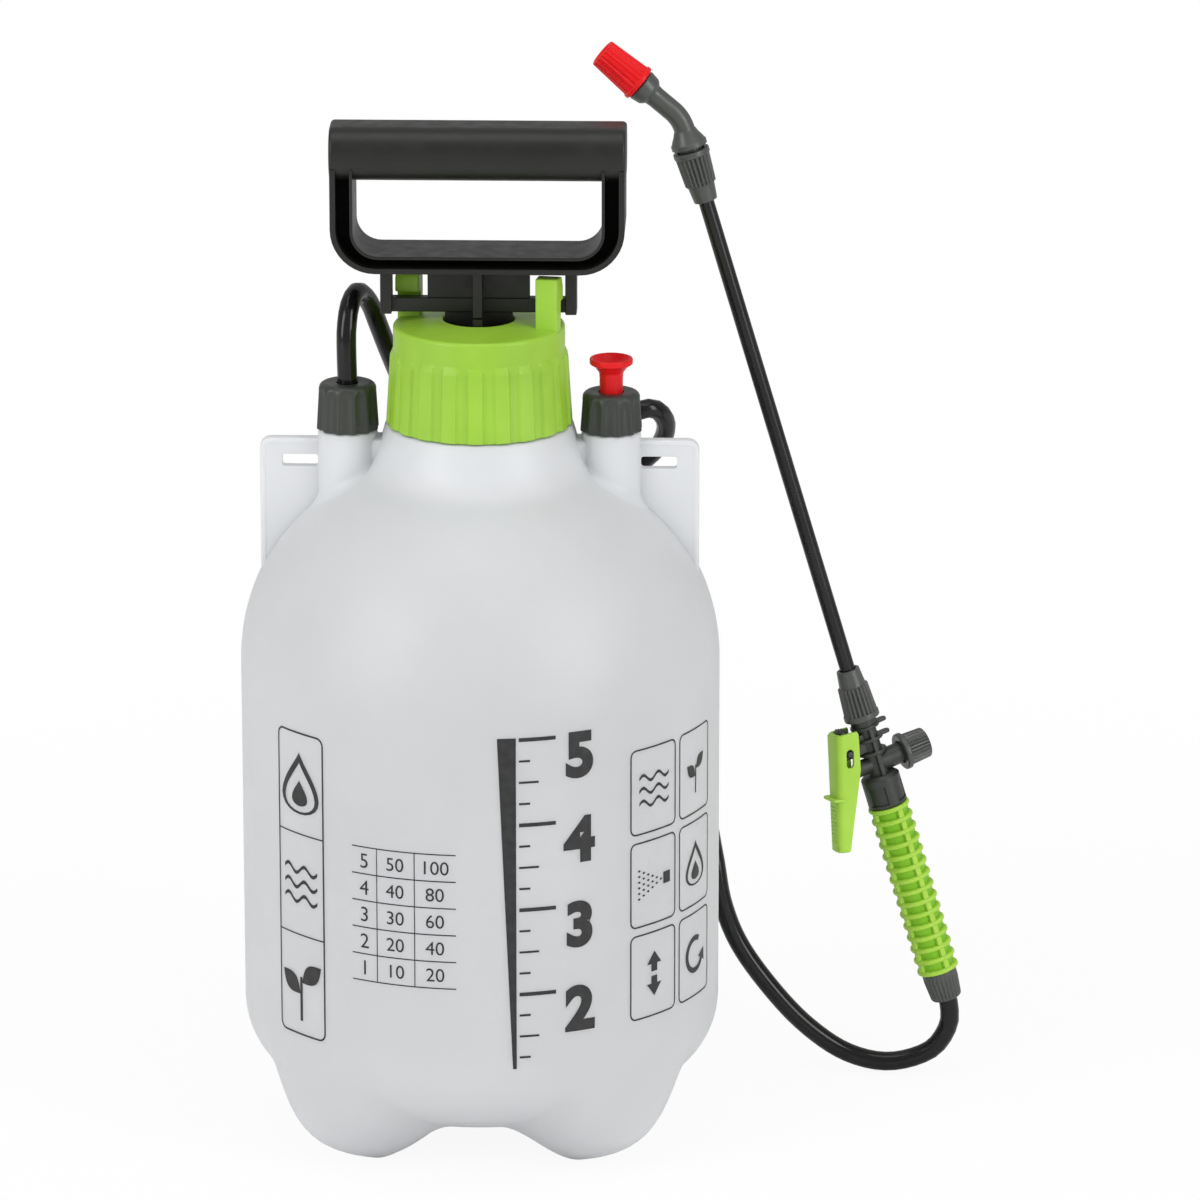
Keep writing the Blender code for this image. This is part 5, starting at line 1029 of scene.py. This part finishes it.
def panelled(angle, r, z):
    v = valve
    low, high = v["collarLow"] + v["panelLow"] + 0.00005, v["collarHigh"] - v["panelHigh"] + 0.00005
    if r < v["core"] + 0.002 or not low < z < high:
        return r
    across = abs(math.degrees(math.remainder(angle - math.pi / 4, math.pi / 2)))
    return r - v["panelDepth"] * min(1.0, max(0.0, (v["panelHalf"] - across) / 2.0 + 0.5))


def addCollar(bm):
    v = valve
    collar, low, high, core, top = v["collar"], v["collarLow"], v["collarHigh"], v["core"], v["discs"][-1]
    profile = softCorners([
        (v["socket"], low, 0), (collar, low, 0.0005), (collar, low + v["panelLow"], 0),
        (collar, low + v["panelLow"] + 0.0001, 0), (collar, high - v["panelHigh"], 0),
        (collar, high - v["panelHigh"] + 0.0001, 0), (collar, high - 0.0004, 0.0008),
        (collar - 0.0016, high + 0.001, 0.0009), (core, high + 0.0013, 0.0005), (core, top, 0),
        (v["spigot"], top, 0), (v["spigot"], v["spigotTop"], 0.0003), (v["bore"], v["spigotTop"], 0),
        (v["bore"], top, 0), (v["leftBore"], top - 0.001, 0), (v["leftBore"], high - 0.003, 0),
        (v["socket"], high - 0.004, 0)], 4)
    spin(bm, profile, 144, panelled)


def addDiscs(bm):
    v = valve
    half, inside, radius = v["discWidth"] / 2, v["core"] - 0.0006, v["discRadius"]
    for height in v["discs"]:
        low, high = height - half, height + half
        spin(bm, boxOutline(inside, low, radius, high, (0, 0.0005), 4), 56)
    start, end, wide, soft = v["tabStart"], v["tabReach"], v["tabHalf"], v["tabCorner"]
    for height in v["discs"][1:]:  # two round-ended tabs on the knob's side
        tab = boxOutline(start, -wide, end, wide, (0, soft))
        plate(bm, tab, v["discWidth"] - 0.0001, shift(z=height) @ turn(-90, "X"), soft=0.0003)
    wide = v["webWidth"] / 2
    for side in (-1, 1):  # the web that ties the discs to the collar
        near, far = sorted((side * 0.002, side * v["webReach"]))
        brick(bm, (-wide, near, v["collarHigh"] - 0.0004), (wide, far, v["discs"][-1]), soft=0.0003)


def makeValveBody():
    v = valve
    bm = bmesh.new()
    addCollar(bm)
    addDiscs(bm)
    # the two arms of the cross pipe
    across = onValve.inverted() @ onCross @ turn(-90, "Z")
    bore, radius, end = v["leftBore"], v["leftRadius"], v["leftEnd"]
    arm = softCorners([(bore, end, 0), (radius, end, 0.0004), (radius, 0, 0), (bore, 0, 0)])
    spin(bm, arm, 40, place=across)
    bore, radius, end = v["rightBore"], v["rightRadius"], v["rightEnd"]
    spin(bm, boxOutline(bore, 0, radius, end), 40, place=across)
    # the lug and the pin of the trigger
    x, z, size = lug["pinX"], lug["pinHeight"], lug["hole"]
    hole = [(x + size * math.cos(a), z + size * math.sin(a)) for a in around(20)]
    plate(bm, softCorners(lug["outline"], 5), lug["width"], soft=0.0006, holes=[hole])
    setPiece("valveBody", bm, onValve, "nut", "tank_body", ["valve_body"])
    ends = boxOutline(nearAxis, -lug["pinHalf"], lug["pin"], lug["pinHalf"], (0, 0.0003))
    place = onValve @ shift(x, 0, z) @ turn(90, "X")
    turnedPiece("triggerPin", ends, 24, place, "nut", "tank_body", "trigger_pin", loop=False)


makeValveBody()

knob = {"start": 0.0117, "length": 0.0119, "rim": 0.0078, "rimWidth": 0.0022, "radius": 0.0068,
        "endRadius": 0.0064, "plate": 0.002, "bore": 0.0049, "ribs": 30, "ribDepth": 0.0005}


def makeKnob():
    k = knob
    start, end = k["start"], k["start"] + k["length"]
    rim, inside = start + k["rimWidth"], end - k["plate"]
    profile = softCorners([
        (k["bore"], start, 0.0003), (k["rim"], start, 0.0006), (k["rim"], rim, 0.0005),
        (k["radius"] + 0.0001, rim + 0.0004, 0.0002), (k["radius"], rim + 0.0008, 0),
        (k["endRadius"], end, 0.0007), (nearAxis, end - 0.0002, 0)], 4)
    profile += [(nearAxis, inside), (k["bore"], inside)]
    ribs = grooved(k["ribs"], k["ribDepth"], rim + 0.0006, end - 0.0004, 0.0056)
    place = onCross @ turn(-90, "Z")
    turnedPiece("valveKnob", profile, k["ribs"] * 6, place, "fitting", "tank_body", "valve_knob", ribs)


makeKnob()
print("grip and valve made")

# trigger
trigger = {
    "lean": 15.7, "front": -0.0058, "top": 0.0078, "length": 0.0494, "topDepth": 0.0098, "bellyDepth": 0.0106,
    "tipDepth": 0.0054, "belly": 0.3, "width": 0.0126, "tipWidth": 0.0094, "wall": 0.0016, "corner": 0.0028,
    "rise": 0.0016, "tuck": 0.0005,
    "shares": (0.0, 0.02, 0.1, 0.2, 0.3, 0.45, 0.6, 0.75, 0.9, 0.965, 0.99, 1.0),
    "slotLength": 0.008, "slotWidth": 0.0033, "slotRaise": 0.0004, "ledgeAt": 0.545, "ledgeReach": 0.0022,
    "ledgeBack": 0.003, "ledgeOver": 0.0006, "ledgeCorner": 0.0016, "ledgeHeight": 0.0012, "ribs": 10,
    "ribStart": 0.62, "ribPitch": 0.033,
}
onTrigger = onValve @ shift(lug["pinX"], 0, lug["pinHeight"]) @ turn(trigger["lean"], "Y")


def triggerHalf(share):
    return mix(trigger["width"], trigger["tipWidth"], share) / 2


def triggerHeight(share):
    return mix(trigger["top"], trigger["top"] - trigger["length"], share)


def triggerDepth(share):
    t = trigger
    if share < t["belly"]:
        return mix(t["topDepth"], t["bellyDepth"], share / t["belly"])
    return mix(t["bellyDepth"], t["tipDepth"], (share - t["belly"]) / (1 - t["belly"]))


def triggerRing(share):
    t = trigger
    tuck = t["tuck"] if share in (0.0, 1.0) else 0.0
    half, w, corner = triggerHalf(share) - tuck, t["wall"], t["corner"]
    front, back = t["front"] + tuck, t["front"] + triggerDepth(share) - tuck
    section = softCorners([
        (back, half, 0.0004), (front, half, corner), (front, -half, corner), (back, -half, 0.0004),
        (back, -half + w, 0.0003), (front + w, -half + w, 0.0005), (front + w, half - w, 0.0005),
        (back, half - w, 0.0003)], 4)
    z, rise = triggerHeight(share), t["rise"] * max(0.0, 1 - share * 8)
    return [Vector((x, y, z + rise * (x - front) / t["topDepth"])) for x, y in section]


def makeTrigger():
    t = trigger
    front, low = t["front"], t["top"] - t["length"]
    bm = bmesh.new()
    loft(bm, [triggerRing(share) for share in t["shares"]])
    slots = bmesh.new()
    r = t["slotWidth"] / 2
    reach = t["slotLength"] / 2 - r
    outline = []
    for a in around(32, 0.5):
        end = reach if a < math.pi else -reach
        outline.append((r * math.cos(a), r * math.sin(a) + end - reach + t["slotRaise"]))
    plate(slots, outline, 0.03)
    bm = combine(bm, slots, "DIFFERENCE")
    half = triggerHalf(0.97) - t["wall"] * 0.5
    back = front + t["tipDepth"] - 0.0004
    brick(bm, (front + 0.0005, -half, low + 0.0002), (back, half, low + 0.0022), soft=0.0003)
    # the ledge and the ribs under the finger
    half = triggerHalf(t["ledgeAt"]) + t["ledgeOver"]
    back, reach = front + t["ledgeBack"], front - t["ledgeReach"]
    ledge = boxOutline(back, -half, reach, half, (0, t["ledgeCorner"]))
    plate(bm, ledge, t["ledgeHeight"], shift(z=triggerHeight(t["ledgeAt"])) @ turn(-90, "X"), soft=0.0003)
    for i in range(t["ribs"]):
        share = t["ribStart"] + t["ribPitch"] * i
        half, z = triggerHalf(share) - t["corner"], triggerHeight(share)
        brick(bm, (front - 0.00035, -half, z - 0.0003), (front + 0.0006, half, z + 0.0003), soft=0.00015)
    setPiece("trigger", bm, onTrigger, "lime", "trigger_body", ["trigger"])


lock = {"blockEnd": 0.0062, "blockDrop": 0.0016, "at": 0.0042, "long": 0.0026, "wide": 0.0037,
        "rings": ((-0.0006, 0.86), (0.0004, 1.0), (0.0012, 0.94), (0.0016, 0.72), (0.0017, 0.3)),
        "ridges": (0.003, 0.0042, 0.0054), "ridgeWide": 0.0024, "ridgeLow": 0.0012, "ridgeHigh": 0.0019}


def makeTriggerLock():
    # an oval button with three ridges, on a block between the trigger's walls
    front, top, wall = trigger["front"], trigger["top"], trigger["wall"]
    wide = trigger["width"] / 2 - wall + 0.0002
    bm = bmesh.new()
    near = (front + wall - 0.0002, -wide, top - lock["blockDrop"])
    brick(bm, near, (front + lock["blockEnd"], wide, top - 0.0002), soft=0.0002)
    rings = []
    x = front + lock["at"]
    for rise, grow in lock["rings"]:
        far, wide = lock["long"] * grow, lock["wide"] * grow
        rings.append([Vector((x + far * math.cos(a), wide * math.sin(a), top + rise)) for a in around(32)])
    loft(bm, rings)
    wide, low, high = lock["ridgeWide"], top + lock["ridgeLow"], top + lock["ridgeHigh"]
    for at in lock["ridges"]:
        brick(bm, (front + at - 0.0002, -wide, low), (front + at + 0.0002, wide, high), soft=0.0001)
    setPiece("triggerLock", bm, onTrigger, "nut", "trigger_body")


makeTrigger()
makeTriggerLock()
print("trigger made")

# lance tube and its nuts
lanceNut = {"start": 0.0212, "end": 0.2725, "rim": 0.0075, "rimWidth": 0.0023, "body": 0.0122,
            "radius": 0.0064, "bodyStart": 0.0071, "sleeve": 0.0074, "sleeveRadius": 0.0054,
            "sleeveEnd": 0.0048, "bore": 0.0036, "thread": 0.0058, "ribs": 22, "ribDepth": 0.00075}
lanceTube = {"radius": 0.0032, "wall": 0.0009, "low": 0.018, "high": 0.2673}


def makeLanceNut(name, node, place):
    n = lanceNut
    rim, bore, thread, neck = n["rimWidth"], n["bore"], n["thread"], n["sleeveRadius"]
    body, sleeve = rim + n["body"], rim + n["body"] + n["sleeve"]
    profile = softCorners([
        (thread, 0, 0), (n["rim"], 0, 0.0004), (n["rim"], rim, 0.0005), (n["bodyStart"], rim + 0.0002, 0),
        (n["bodyStart"], rim + 0.0003, 0), (n["radius"], body, 0.0004),
        (neck + 0.0002, body + 0.0002, 0.0001), (n["sleeveEnd"], sleeve, 0.0004), (bore, sleeve, 0),
        (bore, body, 0), (thread, body - 0.001, 0)], 4)
    ribs = grooved(n["ribs"], n["ribDepth"], rim + 0.00025, body + 0.00015, neck + 0.0004, 0.28)
    turnedPiece(name, profile, n["ribs"] * 8, place, "fitting", "tank_body", node, ribs)


makeLanceNut("lowerLanceNut", "lower_lance_nut", onLance @ shift(z=lanceNut["start"]))
makeLanceNut("upperLanceNut", "upper_lance_nut", onLance @ shift(z=lanceNut["end"]) @ turn(180, "X"))


def makeLanceTube():
    t = lanceTube
    inner = t["radius"] - t["wall"]
    profile = boxOutline(inner, t["low"], t["radius"], t["high"], (0.0002, 0.0003), 2)
    turnedPiece("lanceTube", profile, 48, onLance, "black", "tank_body", "lance_tube")


makeLanceTube()

# elbow and nozzle
elbow = {"start": 0.2738, "flange": 0.0074, "flangeWidth": 0.002, "pipe": 0.0043, "rise": 0.0125,
         "reach": 0.0217, "bend": 33.3, "bendRadius": 0.016, "bendSteps": 12, "flare": 0.0062,
         "spigot": 0.0048, "spigotLength": 0.011, "threadLow": 0.265, "sides": 40}
nozzle = {"lip": 0.0077, "lipWidth": 0.0016, "base": 0.0072, "tip": 0.006, "length": 0.02, "ribs": 18,
          "ribDepth": 0.00045, "dish": 0.0022, "dishRadius": 0.003, "bore": 0.0051, "orifice": 0.0008,
          "gap": 0.0003}
bendPoint = Vector((0, 0, elbow["start"] + elbow["rise"]))
onNozzle = onLance @ Matrix.Translation(bendPoint) @ turn(-elbow["bend"], "Y")


def makeElbow():
    e = elbow
    pipe, flange, flare, start, end = e["pipe"], e["flange"], e["flare"], e["start"], e["reach"]
    bend, radius, thread = math.radians(e["bend"]), e["bendRadius"], e["spigot"]
    setBack = radius * math.tan(bend / 2)
    centre = bendPoint + Vector((-radius, 0, -setBack))
    along = Vector((-math.sin(bend), 0, math.cos(bend)))
    bm = bmesh.new()
    sweep(bm, [(0, 0, e["threadLow"]), (0, 0, start - 0.0002)], [thread] * 2, e["sides"])
    # heights over the start with their radii, up to the bend
    wide = e["flangeWidth"]
    foot = [(0.0, flange - 0.0004), (0.0003, flange), (wide, flange), (wide + 0.0004, flange - 0.0004),
            (0.0038, 0.0063), (0.0055, 0.0053), (0.0072, pipe + 0.0003),
            (bendPoint.z - setBack - start, pipe)]
    path = [Vector((0, 0, start + rise)) for rise, _ in foot]
    for k in range(1, e["bendSteps"] + 1):
        angle = bend * k / e["bendSteps"]
        path.append(centre + Vector((radius * math.cos(angle), 0, radius * math.sin(angle))))
    # distances before the end with their radii
    head = [(0.0085, pipe), (0.0066, pipe + 0.0002), (0.0052, flare - 0.0004), (0.0046, flare),
            (0.0008, flare + 0.0006), (0.0003, flare + 0.0004), (0.0, flare)]
    path += [bendPoint + along * (end - before) for before, _ in head]
    radii = [r for _, r in foot] + [pipe] * e["bendSteps"] + [r for _, r in head]
    sweep(bm, path, radii, e["sides"])
    spigot = [bendPoint + along * (end - 0.001), bendPoint + along * (end + e["spigotLength"])]
    sweep(bm, spigot, [thread - 0.0003] * 2, e["sides"])
    setPiece("elbow", bm, onLance, "fitting", "elbow_body", ["elbow"], sharp=32)


def makeNozzle():
    n = nozzle
    low = elbow["reach"] + n["gap"]
    high, lip, base, tip = low + n["length"], low + n["lipWidth"], n["base"], n["tip"]
    dish = high - n["dish"]
    profile = softCorners([
        (n["bore"], low, 0.0002), (n["lip"], low, 0.0004), (n["lip"], lip, 0.0004),
        (base, lip + 0.0003, 0.0001), (base - 0.0001, lip + 0.0006, 0), (tip, high, 0.0006),
        (tip - 0.0012, high - 0.0002, 0.0003), (n["dishRadius"], dish, 0.0005), (n["orifice"], dish, 0)], 4)
    profile += [(n["orifice"], dish - 0.0018), (n["bore"], dish - 0.003)]
    ribs = grooved(n["ribs"], n["ribDepth"], lip + 0.0005, high - 0.0003, tip - 0.0004, 0.25, 0.1)
    turnedPiece("nozzleTip", profile, n["ribs"] * 8, onNozzle, "red", "nozzle_body", "nozzle_tip", ribs)


makeElbow()
makeNozzle()
print("lance, elbow and nozzle made")

# floor, light and camera
studio = {
    "floorSize": 6, "floorColour": (0.94, 0.94, 0.94), "nearGlow": 0.92, "near": 0.2, "far": 0.85,
    "ambient": 0.5, "aim": (0, 0, 0.2),
    "lamps": (("keyBox", 32.0, (-2.0, -1.65, 1.3), (1.0, 2.0)),
              ("fillBox", 30.0, (2.1, -1.6, 1.2), (0.9, 2.0)), ("topBox", 9.0, (0.0, -0.3, 2.1), (1.6, 1.2))),
}


def paperFinish():
    # the paper keeps its shadow near the object and fades to white further off
    paper = bpy.data.materials.new("paper")
    paper.use_nodes = True
    tree = paper.node_tree
    tree.nodes.clear()
    out = addNode(tree, "OutputMaterial")
    matte = addNode(tree, "BsdfDiffuse", {"Color": (*studio["floorColour"], 1)})
    glow = addNode(tree, "Emission")
    path = addNode(tree, "LightPath")
    coords = addNode(tree, "TexCoord")
    away = addNode(tree, "VectorMath", operation="LENGTH")
    fading = {"From Min": studio["near"], "From Max": studio["far"], "To Min": studio["nearGlow"]}
    fade = addNode(tree, "MapRange", fading, interpolation_type="SMOOTHSTEP")
    share = addNode(tree, "Math", operation="MULTIPLY")
    blend = addNode(tree, "MixShader")
    join(tree, (coords, "Object", away, 0), (away, "Value", fade, "Value"), (path, "Is Camera Ray", share, 0),
         (fade, "Result", share, 1), (share, "Value", blend, "Fac"), (matte, "BSDF", blend, 1),
         (glow, "Emission", blend, 2), (blend, "Shader", out, "Surface"))
    return paper


def makeFloor():
    bm = bmesh.new()
    bmesh.ops.create_grid(bm, x_segments=4, y_segments=4, size=studio["floorSize"])
    mesh = bpy.data.meshes.new("studioFloor")
    bm.to_mesh(mesh)
    bm.free()
    mesh.materials.append(paperFinish())
    floor = bpy.data.objects.new("studioFloor", mesh)
    bpy.context.scene.collection.objects.link(floor)


def makeWorld():
    # white where the camera sees it, and a plain level of light on the object
    world = bpy.data.worlds.new("studio")
    bpy.context.scene.world = world
    world.use_nodes = True
    tree = world.node_tree
    back = tree.nodes["Background"]
    setInputs(back, {"Color": (1, 1, 1, 1)})
    path = addNode(tree, "LightPath")
    seen = addNode(tree, "Math", operation="MAXIMUM")
    level = addNode(tree, "MapRange", {"To Min": studio["ambient"]})
    join(tree, (path, "Is Camera Ray", seen, 0), (path, "Is Transmission Ray", seen, 1),
         (seen, "Value", level, "Value"), (level, "Result", back, "Strength"))


def makeLamps():
    for name, power, at, size in studio["lamps"]:
        lamp = bpy.data.lights.new(name, "AREA")
        lamp.shape = "RECTANGLE"
        lamp.size, lamp.size_y = size
        lamp.energy = power
        obj = bpy.data.objects.new(name, lamp)
        obj.location = at
        obj.rotation_euler = (Vector(studio["aim"]) - Vector(at)).to_track_quat("-Z", "Y").to_euler()
        bpy.context.scene.collection.objects.link(obj)


camera = {"at": (0.133 + tankX, -3.0471, 1.13), "turn": (90 - 16.5576, 0.0, 1.5888), "lens": 235.8,
          "sensor": 36}


def makeCamera():
    eye = bpy.data.objects.new("photoCamera", bpy.data.cameras.new("photoCamera"))
    eye.data.sensor_width = camera["sensor"]
    eye.data.lens = camera["lens"]
    eye.location = camera["at"]
    eye.rotation_euler = [math.radians(a) for a in camera["turn"]]
    bpy.context.scene.collection.objects.link(eye)
    bpy.context.scene.camera = eye


makeFloor()
makeWorld()
makeLamps()
makeCamera()
bpy.context.scene.view_settings.view_transform = "Standard"
print("studio and camera set")
